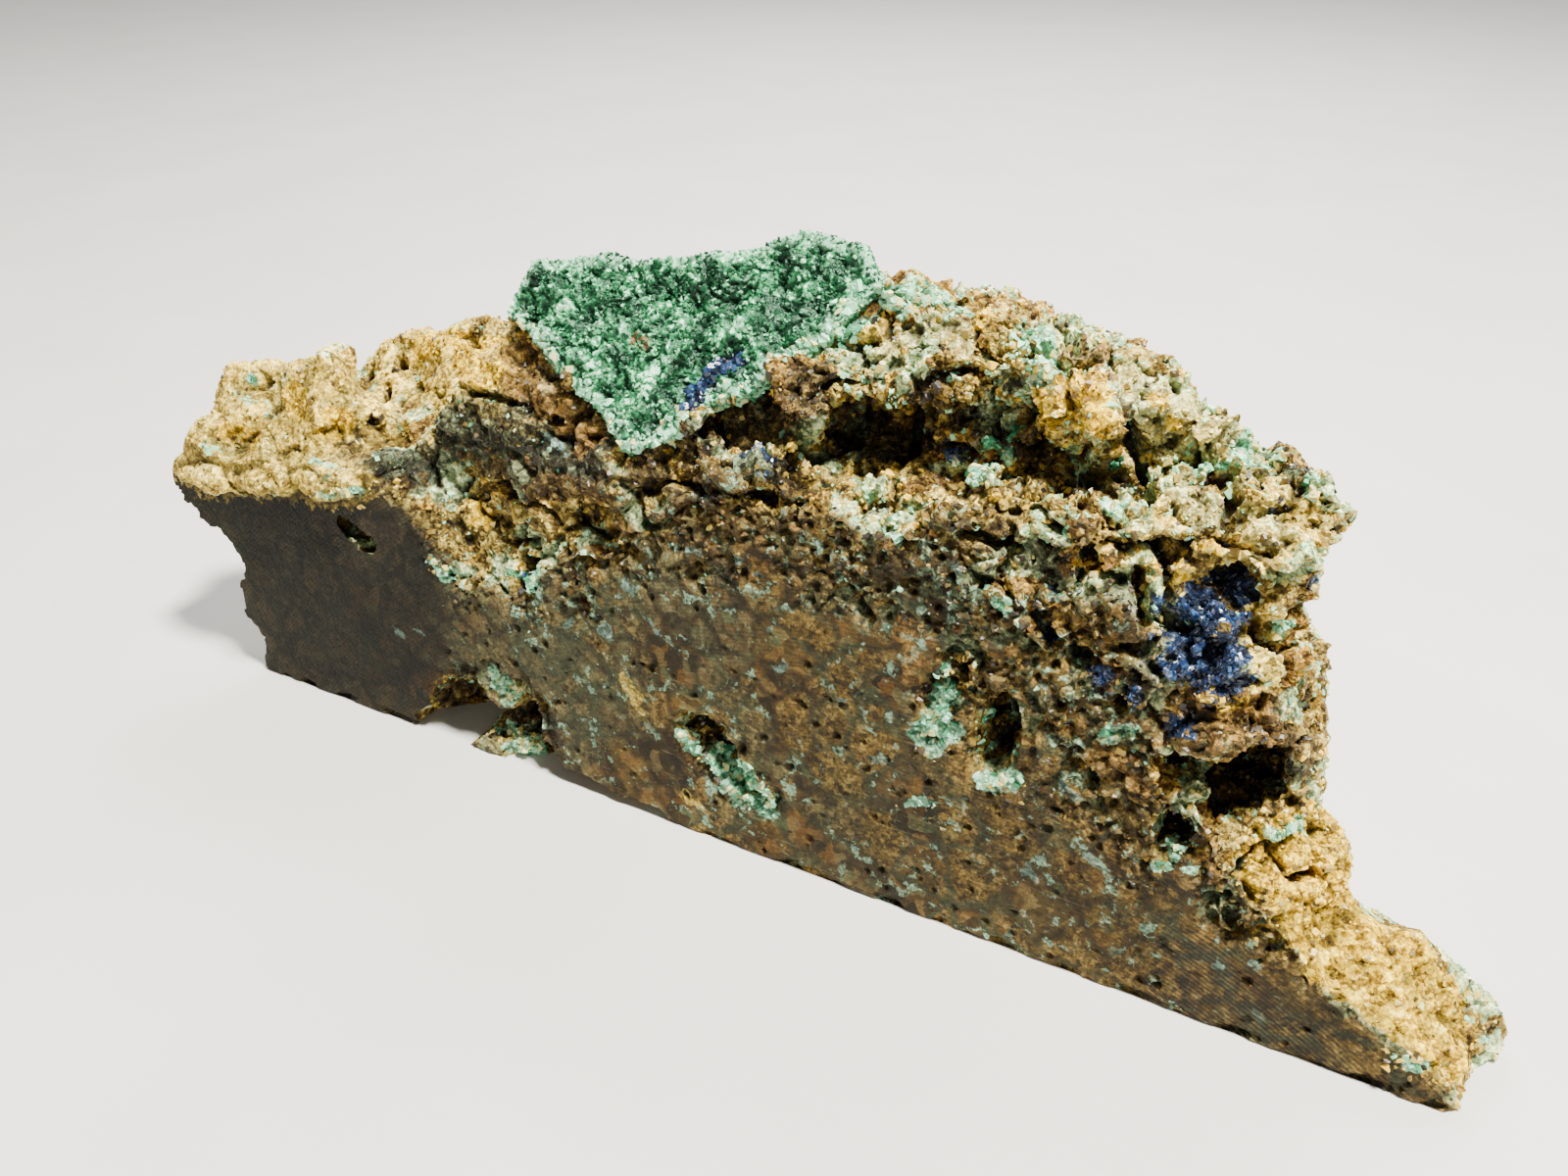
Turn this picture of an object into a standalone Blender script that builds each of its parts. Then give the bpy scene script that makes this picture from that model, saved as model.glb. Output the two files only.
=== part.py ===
"""A hand-sized piece of iron-oxide gossan with malachite and azurite, sawn flat on one side.

The stone stands on a trimmed base. Its sawn face looks towards -Y and leans back a little, the long
way of that face runs along X, and Z is up. It is built the way such a stone can be read: overlapping
broken blocks, fused and roughened, then trimmed by the saw, by the plane of the malachite plate and
by the hollows in the rock.

Places below are in millimetres in the saw's own frame: x runs along the foot of the sawn face from
its left end, y goes into the stone, z is the height above the surface that it stands on. The last
step moves the stone so that the middle of its footprint is the origin.
"""

import math

import bmesh
import bpy
from mathutils import Matrix, Vector, noise

MM = 0.001

# Trims: the saw's face and the base
SAW_LEAN_DEG = 5.0
TRIM_SIZE = 200.0
TRIM_CENTRE_X = 55.0

# Mesh sizes
FUSE_VOXEL = 1.0
ROCK_VOXEL = 0.9
ROCK_TRIANGLES = 8400
WELD_MM = 0.01

# Malachite plate: a flat druse face that leans back from its lower tip
PLATE_TIP = Vector((49.5, 4.5, 36.2))
PLATE_DIP_DEG = 50.5
PLATE_THICKNESS = 2.4
PLATE_PROUD = 0.25
PLATE_TRIM_HEIGHT = 7.0
PLATE_TRIM_GROWTH = 1.2
# Outline on the plate's own plane, in mm to the right of the tip and up the dip
PLATE_OUTLINE = [
    (0.0, 0.0), (2.2, 0.9), (4.1, 2.2), (6.0, 4.9), (7.6, 6.0), (9.4, 6.9), (11.9, 9.4), (14.6, 12.2),
    (16.0, 15.2), (18.4, 17.8), (16.6, 18.7), (15.3, 20.6), (9.8, 20.9), (4.6, 18.2), (-0.4, 17.3),
    (-4.4, 16.3), (-8.1, 16.1), (-15.2, 14.3), (-16.0, 12.0), (-16.3, 9.3), (-12.4, 7.8), (-8.6, 5.0),
    (-3.4, 2.5),
]

# Relief of the broken rock: grain size and height of each layer
NOISE_SEED = 3
SWELL_SIZE, SWELL_HEIGHT = 15.0, 0.8
CHIP_LAYERS = [(8.0, 0.30, 0.6), (4.2, 0.28, 0.55)]
PIT_SIZE, PIT_LEVEL, PIT_DEPTH = 4.6, 0.26, 3.0

# Each block is the hull of its corners.
BLOCKS = {
    "core": [
        (1, -2, -2), (0.5, -2, 15), (-2, -2, 19), (21, -2, 25), (56, -2, 31), (72, -2, 35), (91, -2, 28),
        (97, -2, 22), (100, -2, 17), (104, -2, -2),
        (8, 28, -2), (6, 26, 18), (22, 31, 26), (50, 33, 36), (78, 31, 36), (90, 24, 20), (86, 27, -2),
        (40, 34, -2),
    ],
    "cap_ledge": [
        (-7.7, -2, 20.5), (-10.6, 4, 21), (22, -2, 24.5), (21.5, 2, 26), (19, 6, 28), (0, 6, 27.5),
        (-10, 6, 25), (0, -2, 16), (-3, 14, 16), (18, 14, 22), (-7, 12, 24),
    ],
    "cap_dome": [
        (-11, 6, 23.2), (-9, 7, 27.5), (-6.2, 10, 31.6), (-2, 12, 33), (4, 12, 32.4), (11, 10, 34.2),
        (17.5, 7, 31), (12, 4.5, 28.5), (-3, 5, 27), (-5, 17, 25), (6, 18, 27), (15, 15, 28), (0, 12, 20),
    ],
    "back_knob": [
        (-4, 20, 26), (4, 20, 31.4), (10.5, 22, 35.6), (16, 21, 36.8), (22, 20, 37), (28, 14.5, 34.8),
        (25, 9, 29.5), (10, 12, 28), (0, 16, 24), (8, 31, 24), (24, 32, 27), (30, 26, 33), (10, 20, 15),
        (28, 20, 20),
    ],
    "shoulder": [
        (20, 0, 24), (24, 5, 27.5), (27, 9, 31.5), (28, 14, 37.5), (33, 11.5, 40), (40, 8.5, 38),
        (46.5, 6.0, 37.5), (50, 4.2, 35.2), (57, 1, 30.5), (46, -2, 24), (31, -2, 17.5), (30, 24, 34),
        (52, 20, 38), (50, 14, 20),
    ],
    "malachite_block": [
        (33.0, 10.2, 43.5), (34.0, 13.4, 47.3), (41.4, 14.5, 48.8), (49.1, 15.2, 49.7), (59.3, 17.5, 52.4),
        (64.8, 17.3, 52.2), (67.9, 15.6, 50), (61.4, 10.2, 43.6), (57.1, 8, 41.0), (53.6, 5.7, 38.1),
        (49.5, 4.6, 36.4), (46.1, 5.9, 38.2), (34, 19, 44), (63, 22, 47), (33, 22, 30), (62, 24, 30),
        (50, 12, 28), (32, 15, 36),
    ],
    "right_hump": [
        (57, 7.5, 40.8), (66, 9, 44), (75, 10.5, 45.6), (84, 12.2, 47.0), (94.6, 14, 44.8), (101.6, 16, 41.6),
        (67.5, 17.5, 49.2), (69.5, 21.5, 49.4), (74, 21, 48.2), (82, 21, 48.0), (89.5, 21, 46.9),
        (96.5, 18.5, 43.6), (64, 29, 40), (84, 30, 38), (97, 25, 33), (68, 14, 40), (90, 16, 36),
        (70, 24, 24), (92, 22, 22),
    ],
    "right_shoulder": [
        (86, 8, 38.5), (93, 11, 41), (100.5, 15.5, 42.0), (104.3, 13.5, 41.4), (105.4, 10, 39.6),
        (104.8, 7.5, 35.5), (100, 4.6, 36.6), (91.5, 4.6, 36.8), (84, 5, 37), (97, 23, 30), (105, 17, 32),
        (88, 6, 30), (100, 8, 28),
    ],
    "front_right": [
        (74, 3.4, 34.6), (83.5, 2.9, 26.6), (91, 2.8, 26.4), (98, 2.4, 22), (96, 4.4, 36.2),
        (86, 6.5, 40.4), (101, 4.8, 34.5), (80, 6, 39.4), (92, 7, 38.8), (80, 16, 30), (98, 14, 26),
        (90, 14, 38), (101, 4.4, 26),
    ],
    "under_ledge": [
        (53, 2.4, 31), (57.5, 4.4, 36.4), (63, 5.4, 38.2), (70, 5.6, 37.6), (72, 3.2, 34.6), (60, 12, 38),
        (70, 12, 38), (54, 12, 32), (72, 12, 32),
    ],
    "azurite_bulge": [
        (93, 2, 34.5), (98.5, 3.8, 36), (103.6, 7, 34), (105.6, 8.5, 29.5), (105, 6.8, 27),
        (99.5, 4.6, 25.8), (95.5, 2, 25.5), (90, 0, 29), (98, 18, 32), (106, 15, 28), (94, 14, 24),
    ],
    "foot_rubble": [
        (95, 1, 19.8), (99, 4.4, 19.2), (104, 6.6, 18), (109.2, 8.6, 18.8), (111.6, 9.2, 15.6),
        (113.6, 9.2, 12.4), (115, 9, 8.6), (108.8, 1.5, 9.2), (103.6, 0.5, 13.2), (99.8, -1, 17),
        (96, 16, 18), (109, 15, 12),
        (96, 8, 4), (108, 12, -2),
    ],
    "recess_back": [
        (94, 10, 18), (101, 12, 18), (107, 13.5, 17.5), (107, 13.5, 28), (96, 10, 28), (96, 22, 28),
        (105, 19, 26), (94, 22, 14), (104, 18, 14),
    ],
    "tail": [
        (96, -2, -2), (120, -2, -2), (120.2, -2, 0.6), (117.2, -2, 4), (108.6, -2, 9.8), (104, -2, 13),
        (122.8, 1.8, -2), (126.8, 7.8, -2), (126.6, 8.8, 1.8), (124.2, 9.2, 4.0), (120.4, 9.4, 6.6),
        (114.4, 9.2, 9.2), (109, 9.2, 12.4), (120, 13, -2), (113, 15, 4), (100, 16, -2), (98, 14, 14),
    ],
    "back_mass": [
        (30, 26, -2), (34, 33, 10), (38, 35, 24), (46, 30, 38), (58, 31, 41), (66, 35, 30), (72, 34, 14),
        (66, 32, -2), (40, 20, 30), (62, 20, 36), (30, 20, 8), (74, 22, 8),
    ],
    "back_left_rib": [
        (12, 24, -2), (10, 30, 10), (16, 33, 20), (24, 34, 26), (30, 32, 16), (28, 31, -2), (14, 18, 10),
        (28, 20, 22),
    ],
    "back_right_rib": [
        (74, 28, -2), (78, 32, 12), (82, 32, 26), (88, 28, 34), (94, 25, 22), (98, 20, 8), (98, 17, -2),
        (80, 18, 24), (92, 14, 8),
    ],
}

# Each break is a hull too, taken away before the rock is roughened.
BREAKS = {
    "front_left": [
        (20, -9, 25.6), (31.3, -9, 16.2), (38, -9, 18.6), (58, -9, 31.2), (52, -9, 42), (22, -9, 42),
        (22.5, 1.9, 25.4), (31.3, 1.45, 16.5), (40, 1.9, 20.8), (57, 2.6, 30.6), (50.5, 3.6, 36.2),
        (46.5, 5.3, 38.5), (36, 8.5, 39), (27.5, 8, 31.5), (23, 4.8, 28),
    ],
    "under_plate": [
        (24, 11, 36.5), (27.5, 8, 33), (30.5, 12, 41.5), (33, 9, 42), (24, 2, 36), (34, 2, 44),
        (28.5, 16, 44), (26, 18, 38.5), (24, 2, 46),
    ],
    "upper_right": [
        (72.5, -9, 35.0), (83.5, -9, 26.2), (98, -9, 21.4), (110, -9, 21.4), (110, -9, 40),
        (72.5, -9, 40), (73.5, 3.2, 35.0), (83.5, 2.3, 26.2), (98, 1.9, 21.6), (95.5, 3.2, 36.5),
        (80, 4.6, 38), (104, 3.0, 30), (102, 2.4, 24),
    ],
    "left_heel": [
        (-6, 8, -4), (1, 8, -4), (0, 22, -4), (-6, 8, 12), (-1.5, 10, 11), (2, 24, 12), (-6, 30, -4),
        (6, 30, -4), (-6, 30, 14), (4, 30, 14),
    ],
}

# Each hollow or lump is a lumpy ellipsoid: centre, radii, and its tilt in the plane of the sawn face.
HOLLOWS = {
    "cave": ((69.5, 9.0, 39.0), (6.6, 8.0, 4.2), 22.0),
    "slot_under_ledge": ((78.5, 10.0, 41.9), (6.0, 5.5, 1.8), 24.0),
    "pit_under_ochre": ((86.2, 8.0, 41.2), (3.4, 4.5, 1.5), -10.0),
    "crack_right": ((94.8, 10.8, 41.4), (6.0, 3.6, 1.1), 8.0),
    "recess": ((104.8, 8.2, 21.0), (5.6, 8.8, 2.7), 36.0),
    "azurite_hole": ((98.8, 4.6, 35.4), (3.0, 4.8, 2.2), 0.0),
    "azurite_hole_left": ((96.3, 3.4, 33.2), (1.6, 2.8, 1.4), 0.0),
    "azurite_hole_low": ((87.4, 3.6, 30.0), (2.0, 2.8, 1.5), -20.0),
    "knob_hole": ((10.4, 17.4, 33.4), (2.8, 2.8, 2.1), 12.0),
    "foot_notch": ((29.4, 2.0, 3.4), (3.6, 8.5, 5.6), -35.0),
    "notch_heel": ((25.4, 0.0, 0.6), (4.2, 6.0, 2.4), 42.0),
    "foot_recess": ((35.4, 0.0, 6.2), (4.6, 3.6, 5.6), 15.0),
    "foot_cave": ((37.2, 2.0, 3.0), (4.4, 6.5, 3.0), -25.0),
    "foot_undercut": ((44.0, -1.0, 0.0), (14.0, 7.0, 1.6), 0.0),
    "back_hollow": ((50.0, 34.5, 19.0), (6.4, 5.5, 4.6), 15.0),
    "back_pocket": ((86.0, 31.5, 16.0), (3.4, 4.0, 2.6), -20.0),
    "back_left_pocket": ((19.0, 33.5, 11.0), (3.0, 3.6, 2.4), 30.0),
}
LUMPS = {
    "ochre_lump": ((86.6, 11.6, 44.4), (3.4, 3.0, 2.7), -10.0),
    "nose": ((100.4, 6.0, 24.4), (4.6, 3.6, 2.3), 20.0),
    "recess_wall": ((106.6, 10.8, 20.6), (1.4, 4.6, 5.6), 6.0),
    "foot_lump": ((33.6, 5.0, 7.2), (3.2, 4.0, 3.0), -10.0),
    "foot_rim": ((35.2, 4.2, 1.3), (3.8, 2.8, 1.5), -12.0),
}
# The cap's lower lip, which stands proud of the sawn face
LIP = {
    "lip_left": ((-2.2, 2.1, 22.2), (5.4, 1.7, 1.7), 3.0),
    "lip_middle": ((6.0, 2.2, 24.0), (6.0, 1.7, 1.8), 12.0),
    "lip_right": ((14.6, 2.3, 25.6), (5.4, 1.7, 1.7), 14.0),
}
# Open vugs that the saw cut through
VUGS = {
    "long_vug": ((61.0, 0.6, 8.4), (5.4, 4.2, 1.9), -36.0),
    "tall_vug": ((85.0, 1.6, 20.0), (1.8, 5.2, 3.5), -12.0),
    "groove": ((80.6, 1.8, 22.4), (1.3, 1.8, 5.0), -24.0),
    "right_vug": ((99.6, 1.2, 16.2), (1.7, 3.2, 1.7), 0.0),
    "low_right_vug": ((104.6, 0.8, 10.8), (1.1, 2.0, 1.4), 20.0),
    "left_vug": ((38.2, 1.8, 21.6), (1.9, 2.6, 1.6), -20.0),
    "ledge_vug": ((17.6, 1.6, 20.6), (2.9, 2.4, 1.2), -24.0),
}
LUMPINESS_SIZE, LUMPINESS = 0.55, 0.44


def plate_axes():
    """Right, up-dip and outward directions of the malachite plate."""
    dip = math.radians(PLATE_DIP_DEG)
    right = Vector((1, 0, 0))
    up_dip = Vector((0, math.cos(dip), math.sin(dip)))
    return right, up_dip, right.cross(up_dip)


def collection(name):
    made = bpy.data.collections.new(name)
    bpy.context.scene.collection.children.link(made)
    return made


def add_object(name, bm, place):
    mesh = bpy.data.meshes.new(name)
    bm.to_mesh(mesh)
    bm.free()
    obj = bpy.data.objects.new(name, mesh)
    place.objects.link(obj)
    return obj


def add_cutter(name, bm, place):
    obj = add_object(name, bm, place)
    obj.hide_render = True
    obj.display_type = "WIRE"
    return obj


def bake_modifiers(obj):
    """Replaces the object's mesh by what its modifiers make of it."""
    graph = bpy.context.evaluated_depsgraph_get()
    made = bpy.data.meshes.new_from_object(obj.evaluated_get(graph))
    obj.modifiers.clear()
    obj.data = made


def add_hull(bm, corners):
    points = [bm.verts.new(Vector(corner) * MM) for corner in corners]
    hull = bmesh.ops.convex_hull(bm, input=points)
    spare = [item for item in hull["geom_interior"] if isinstance(item, bmesh.types.BMVert)]
    bmesh.ops.delete(bm, geom=spare, context="VERTS")
    bmesh.ops.recalc_face_normals(bm, faces=bm.faces)


def fused_blocks(place, cutters):
    """One closed surface round all the blocks, less the breaks."""
    bm = bmesh.new()
    for corners in BLOCKS.values():
        add_hull(bm, corners)
    stone = add_object("stone", bm, place)
    remesh(stone, FUSE_VOXEL)
    for name, corners in BREAKS.items():
        hull = bmesh.new()
        add_hull(hull, corners)
        combine(stone, add_cutter(name, hull, cutters))
    remesh(stone, FUSE_VOXEL)
    bake_modifiers(stone)
    return stone


def chip(point, size, tilt, step):
    """Height of a broken facet: each cell has its own slope and level."""
    cell = noise.voronoi(point / size)[1][0]
    slope = noise.noise_vector(cell * 3.1)
    level = noise.noise(cell * 5.3 + Vector((7, 1, 4)))
    return size * tilt * slope.dot(point / size - cell) * 2 + step * level


def relief(point):
    """Height of the broken rock's relief at a point, in mm."""
    height = SWELL_HEIGHT * noise.noise(point / SWELL_SIZE)
    for size, tilt, step in CHIP_LAYERS:
        height += chip(point, size, tilt, step)
    pit = noise.noise(point / PIT_SIZE + Vector((11, 3, 8))) - PIT_LEVEL
    return height - PIT_DEPTH * max(0.0, pit)


def roughen(stone):
    """Moves the fused blocks' points along their normals by the relief, but not into the trimmed faces."""
    saw_slope = math.tan(math.radians(SAW_LEAN_DEG))
    moved = []
    for vertex in stone.data.vertices:
        point = vertex.co / MM
        step = vertex.normal * relief(point) * MM
        if point.y < point.z * saw_slope:
            step.y = 0.0
        if point.z < 0.0:
            step.z = 0.0
        moved.append(vertex.co + step)
    for vertex, place in zip(stone.data.vertices, moved):
        vertex.co = place


def add_decimate(stone, triangles):
    """Adds a Decimate that leaves about that many triangles."""
    stone.data.calc_loop_triangles()
    thin = stone.modifiers.new("Thin", "DECIMATE")
    thin.use_collapse_triangulate = True
    thin.ratio = min(1.0, triangles / len(stone.data.loop_triangles))
    return thin


def box_cutter(name, place, matrix, size):
    """A box whose upper face lies on the matrix's XY plane, below which it fills size."""
    bm = bmesh.new()
    bmesh.ops.create_cube(bm, size=size * MM, matrix=matrix @ Matrix.Translation((0, 0, -size * MM / 2)))
    return add_cutter(name, bm, place)


def saw_cutter(place):
    """Takes away all that is in front of the sawn face."""
    centre = Matrix.Translation((TRIM_CENTRE_X * MM, 0, 0))
    turn = Matrix.Rotation(math.radians(-90 - SAW_LEAN_DEG), 4, "X")
    return box_cutter("saw_cut", place, centre @ turn, TRIM_SIZE)


def base_cutter(place):
    """Takes away all that is below the trimmed base."""
    return box_cutter("base_cut", place, Matrix.Translation((TRIM_CENTRE_X * MM, 0, 0)), TRIM_SIZE)


def plate_prism(growth, start, height):
    """A prism on the malachite plate's outline, grown from its tip; start and height run outwards."""
    right, up_dip, out = plate_axes()
    bm = bmesh.new()
    ring = []
    for x, y in PLATE_OUTLINE:
        offset = (right * x + up_dip * y) * growth
        ring.append(bm.verts.new((PLATE_TIP + offset + out * start) * MM))
    face = bm.faces.new(ring)
    raised = bmesh.ops.extrude_face_region(bm, geom=[face])["geom"]
    top = [item for item in raised if isinstance(item, bmesh.types.BMVert)]
    bmesh.ops.translate(bm, verts=top, vec=out * height * MM)
    bmesh.ops.recalc_face_normals(bm, faces=bm.faces)
    return bm


def lumpy_ball(name, place, shape, subdivisions=3):
    """A lumpy ellipsoid."""
    centre, radii, tilt_deg = shape
    bm = bmesh.new()
    bmesh.ops.create_icosphere(bm, subdivisions=subdivisions, radius=1.0)
    seed = Vector(centre)
    for vertex in bm.verts:
        vertex.co *= 1 + LUMPINESS * noise.noise(vertex.co / LUMPINESS_SIZE + seed)
    matrix = (
        Matrix.Translation(Vector(centre) * MM)
        @ Matrix.Rotation(math.radians(-tilt_deg), 4, "Y")
        @ Matrix.Diagonal((*(radius * MM for radius in radii), 1))
    )
    bmesh.ops.transform(bm, matrix=matrix, verts=bm.verts)
    return add_cutter(name, bm, place)


def combine(stone, other, operation="DIFFERENCE"):
    step = stone.modifiers.new(other.name, "BOOLEAN")
    step.operation = operation
    step.solver = "EXACT"
    step.object = other


def remesh(stone, voxel):
    """Adds a Remesh that leaves one closed surface with no crossings."""
    fuse = stone.modifiers.new("Fuse", "REMESH")
    fuse.mode = "VOXEL"
    fuse.voxel_size = voxel * MM


def keep_main_body(stone):
    """Drops the chips that the trims left loose."""
    bm = bmesh.new()
    bm.from_mesh(stone.data)
    bodies = []
    unseen = set(bm.verts)
    while unseen:
        front = [unseen.pop()]
        body = []
        while front:
            vertex = front.pop()
            body.append(vertex)
            for edge in vertex.link_edges:
                other = edge.other_vert(vertex)
                if other in unseen:
                    unseen.remove(other)
                    front.append(other)
        bodies.append(body)
    main = max(bodies, key=len)
    for body in bodies:
        if body is not main:
            bmesh.ops.delete(bm, geom=body, context="VERTS")
    bm.to_mesh(stone.data)
    bm.free()


def clean(stone):
    """Joins points that the cuts left almost on each other, and triangulates."""
    bm = bmesh.new()
    bm.from_mesh(stone.data)
    bmesh.ops.remove_doubles(bm, verts=bm.verts, dist=WELD_MM * MM)
    bmesh.ops.dissolve_degenerate(bm, edges=bm.edges, dist=WELD_MM * MM)
    bmesh.ops.triangulate(bm, faces=bm.faces)
    bm.to_mesh(stone.data)
    bm.free()


def centre_on_footprint(stone):
    """Moves the mesh so that the middle of its box's underside is the origin."""
    points = [vertex.co for vertex in stone.data.vertices]
    low = Vector(min(point[axis] for point in points) for axis in range(3))
    high = Vector(max(point[axis] for point in points) for axis in range(3))
    stone.data.transform(Matrix.Translation((-(low.x + high.x) / 2, -(low.y + high.y) / 2, -low.z)))


def gossan_material():
    """Brown iron oxide, the stone's main colour."""
    material = bpy.data.materials.new("gossan")
    material.use_nodes = True
    shader = material.node_tree.nodes["Principled BSDF"]
    shader.inputs["Base Color"].default_value = (0.16, 0.09, 0.045, 1.0)
    shader.inputs["Roughness"].default_value = 0.85
    shader.inputs["Metallic"].default_value = 0.0
    return material


def main():
    for obj in list(bpy.data.objects):
        bpy.data.objects.remove(obj)
    parts = collection("azurite_malachite_stone")
    cutters = collection("cutters")

    noise.seed_set(NOISE_SEED)
    stone = fused_blocks(parts, cutters)
    roughen(stone)
    remesh(stone, ROCK_VOXEL)
    for name, shape in HOLLOWS.items():
        combine(stone, lumpy_ball(name, cutters, shape))
    for name, shape in LUMPS.items():
        combine(stone, lumpy_ball(name, cutters, shape), "UNION")
    remesh(stone, ROCK_VOXEL)
    bake_modifiers(stone)
    keep_main_body(stone)
    add_decimate(stone, ROCK_TRIANGLES)
    bake_modifiers(stone)

    trim = plate_prism(PLATE_TRIM_GROWTH, -PLATE_PROUD, PLATE_TRIM_HEIGHT)
    combine(stone, add_cutter("plate_trim", trim, cutters))
    combine(stone, add_cutter("plate", plate_prism(1.0, 0.0, -PLATE_THICKNESS), cutters), "UNION")
    combine(stone, saw_cutter(cutters))
    for name, shape in LIP.items():
        combine(stone, lumpy_ball(name, cutters, shape, subdivisions=2), "UNION")
    for name, shape in VUGS.items():
        combine(stone, lumpy_ball(name, cutters, shape, subdivisions=2))
    combine(stone, base_cutter(cutters))
    bake_modifiers(stone)
    clean(stone)
    keep_main_body(stone)
    centre_on_footprint(stone)
    stone.data.materials.append(gossan_material())


main()
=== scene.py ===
"""Looks of an azurite and malachite stone with one sawn side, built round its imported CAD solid.

Places are in mm, in the frame's own axes, unless a line says otherwise.
"""

import math

import bpy
import numpy as np
from mathutils import Matrix, Vector, noise
from mathutils.bvhtree import BVHTree
from mathutils.kdtree import KDTree


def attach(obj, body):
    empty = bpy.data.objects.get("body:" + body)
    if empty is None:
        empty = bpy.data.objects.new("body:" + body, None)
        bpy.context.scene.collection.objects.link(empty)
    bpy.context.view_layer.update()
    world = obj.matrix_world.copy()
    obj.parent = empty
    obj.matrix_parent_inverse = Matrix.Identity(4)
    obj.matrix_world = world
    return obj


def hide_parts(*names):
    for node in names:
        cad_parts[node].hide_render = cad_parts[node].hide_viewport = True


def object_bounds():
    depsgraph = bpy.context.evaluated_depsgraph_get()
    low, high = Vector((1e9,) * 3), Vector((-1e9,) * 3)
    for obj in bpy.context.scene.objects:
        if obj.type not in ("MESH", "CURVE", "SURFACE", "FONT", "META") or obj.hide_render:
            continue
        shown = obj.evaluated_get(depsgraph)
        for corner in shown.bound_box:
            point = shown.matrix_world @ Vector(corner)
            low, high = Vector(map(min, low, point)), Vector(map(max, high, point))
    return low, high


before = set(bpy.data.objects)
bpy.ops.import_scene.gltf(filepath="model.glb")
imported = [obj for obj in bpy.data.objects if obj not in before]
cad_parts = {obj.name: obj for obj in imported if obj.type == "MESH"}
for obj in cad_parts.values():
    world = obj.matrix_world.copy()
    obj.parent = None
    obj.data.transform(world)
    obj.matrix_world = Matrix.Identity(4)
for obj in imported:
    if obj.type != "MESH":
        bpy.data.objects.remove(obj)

CAD_BOX = [list(corner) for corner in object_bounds()]
MM = 0.001
NOISE_SEED = 11
# No grain reaches lower than this above the table.
GRAIN_FLOOR = 0.02

# The saw's plane leans back. Its foot lies on the table.
SAW_LEAN = math.radians(5.0)
SAW_FOOT_Y = round(CAD_BOX[0][1] / MM, 3)
SAW_NORMAL = np.array([0.0, -math.cos(SAW_LEAN), math.sin(SAW_LEAN)])
# The saw marks are arcs about this centre. The wave's speed, in radians per mm, sets them 0.37 mm apart.
SAW_MARK_CENTRE = (20.0, -18.0, -60.0)
SAW_MARK_SPEED = 17.0

# The malachite plate: its lower tip, its slope, and its outline in mm right of the tip and up the slope
PLATE_TIP = np.array([-8.678, -13.617, 36.2])
PLATE_DIP = math.radians(50.5)
PLATE_UP = np.array([0.0, math.cos(PLATE_DIP), math.sin(PLATE_DIP)])
PLATE_OUT = np.array([0.0, -math.sin(PLATE_DIP), math.cos(PLATE_DIP)])
PLATE_OUTLINE = [
    (0, 0), (2.2, 0.9), (4.1, 2.2), (6, 4.9), (7.6, 6), (9.4, 6.9), (11.9, 9.4), (14.6, 12.2),
    (16, 15.2), (18.4, 17.8), (16.6, 18.7), (15.3, 20.6), (9.8, 20.9), (4.6, 18.2), (-0.4, 17.3),
    (-4.4, 16.3), (-8.1, 16.1), (-15.2, 14.3), (-16, 12), (-16.3, 9.3), (-12.4, 7.8), (-8.6, 5),
    (-3.4, 2.5),
]
# The slab is a little larger than the outline. It starts this far behind the plate's plane, and the
# rock under it is lowered to make room.
PLATE_WIDER, PLATE_HIGHER, PLATE_DROP = 1.015, 1.02, 0.2
PLATE_BACK, PLATE_THICKNESS, PLATE_SINK = 1.7, 1.85, 1.0
BROWN_SPOT = [(-2.4, 9.2, 0.0), (-1.6, 9.0, 0.0)]
BROWN_SPOT_RADIUS = 0.8

# Mesh sizes
STONE_VOXEL = 0.33
STONE_TRIANGLES = 190000
PLATE_VOXEL = 0.2
PLATE_TRIANGLES = 150000

# Relief of the broken rock: the size of each layer's pieces and its height or depth
BLOCK_SIZE, BLOCK_HEIGHT = 5.4, 2.8
SLANT_SIZE, SLANT_HEIGHT = 2.2, 1.4
CHIP_SIZE, CHIP_HEIGHT = 1.0, 1.05
GAP_SIZE, GAP_DEPTH = 1.3, 1.4
CRACK_DEPTH = 1.8
CREVICE_DEPTH = 2.8
# Where the rock changes along x: the smooth left cap and the earthy tail at the right
CAP_START, CAP_FULL = -36.0, -41.0
TAIL_START, TAIL_FULL = 44.0, 50.0

# Hollows in the sawn face that are lined with malachite: centre, radii and tilt in degrees, and the
# direction of their lined side in degrees.
VUGS = [
    ((2.8, -17.5, 8.4), (5.4, 4.2, 1.9), -36, 290),
    ((22.4, -16.3, 22.4), (1.3, 1.8, 5.0), -24, 250),
    ((26.8, -16.5, 20.0), (1.8, 5.2, 3.5), -12, 240),
    ((41.4, -16.9, 16.2), (1.7, 3.2, 1.7), 0, 290),
    ((-20.0, -16.3, 21.6), (1.9, 2.6, 1.6), -20, 290),
]

# Dark holes at the bottom of the hollows: x and height, half width and half height, tilt and depth
HOLES = [
    ((0.3, 10.8), (2.9, 1.5), -25, 5.0),
    ((26.7, 19.8), (1.75, 3.6), -5, 5.0),
    ((22.9, 24.6), (0.7, 1.1), -20, 1.8),
    ((41.4, 16.0), (1.5, 1.4), 0, 3.4),
    ((-20.6, 21.8), (1.3, 1.0), -20, 2.4),
    ((35.6, 25.6), (0.7, 0.7), 0, 1.8),
    ((32.0, 28.4), (1.1, 1.0), 10, 2.2),
    ((34.6, 18.6), (0.5, 1.0), 20, 1.2),
    ((14.6, 27.6), (1.2, 0.5), -30, 1.0),
]

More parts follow.
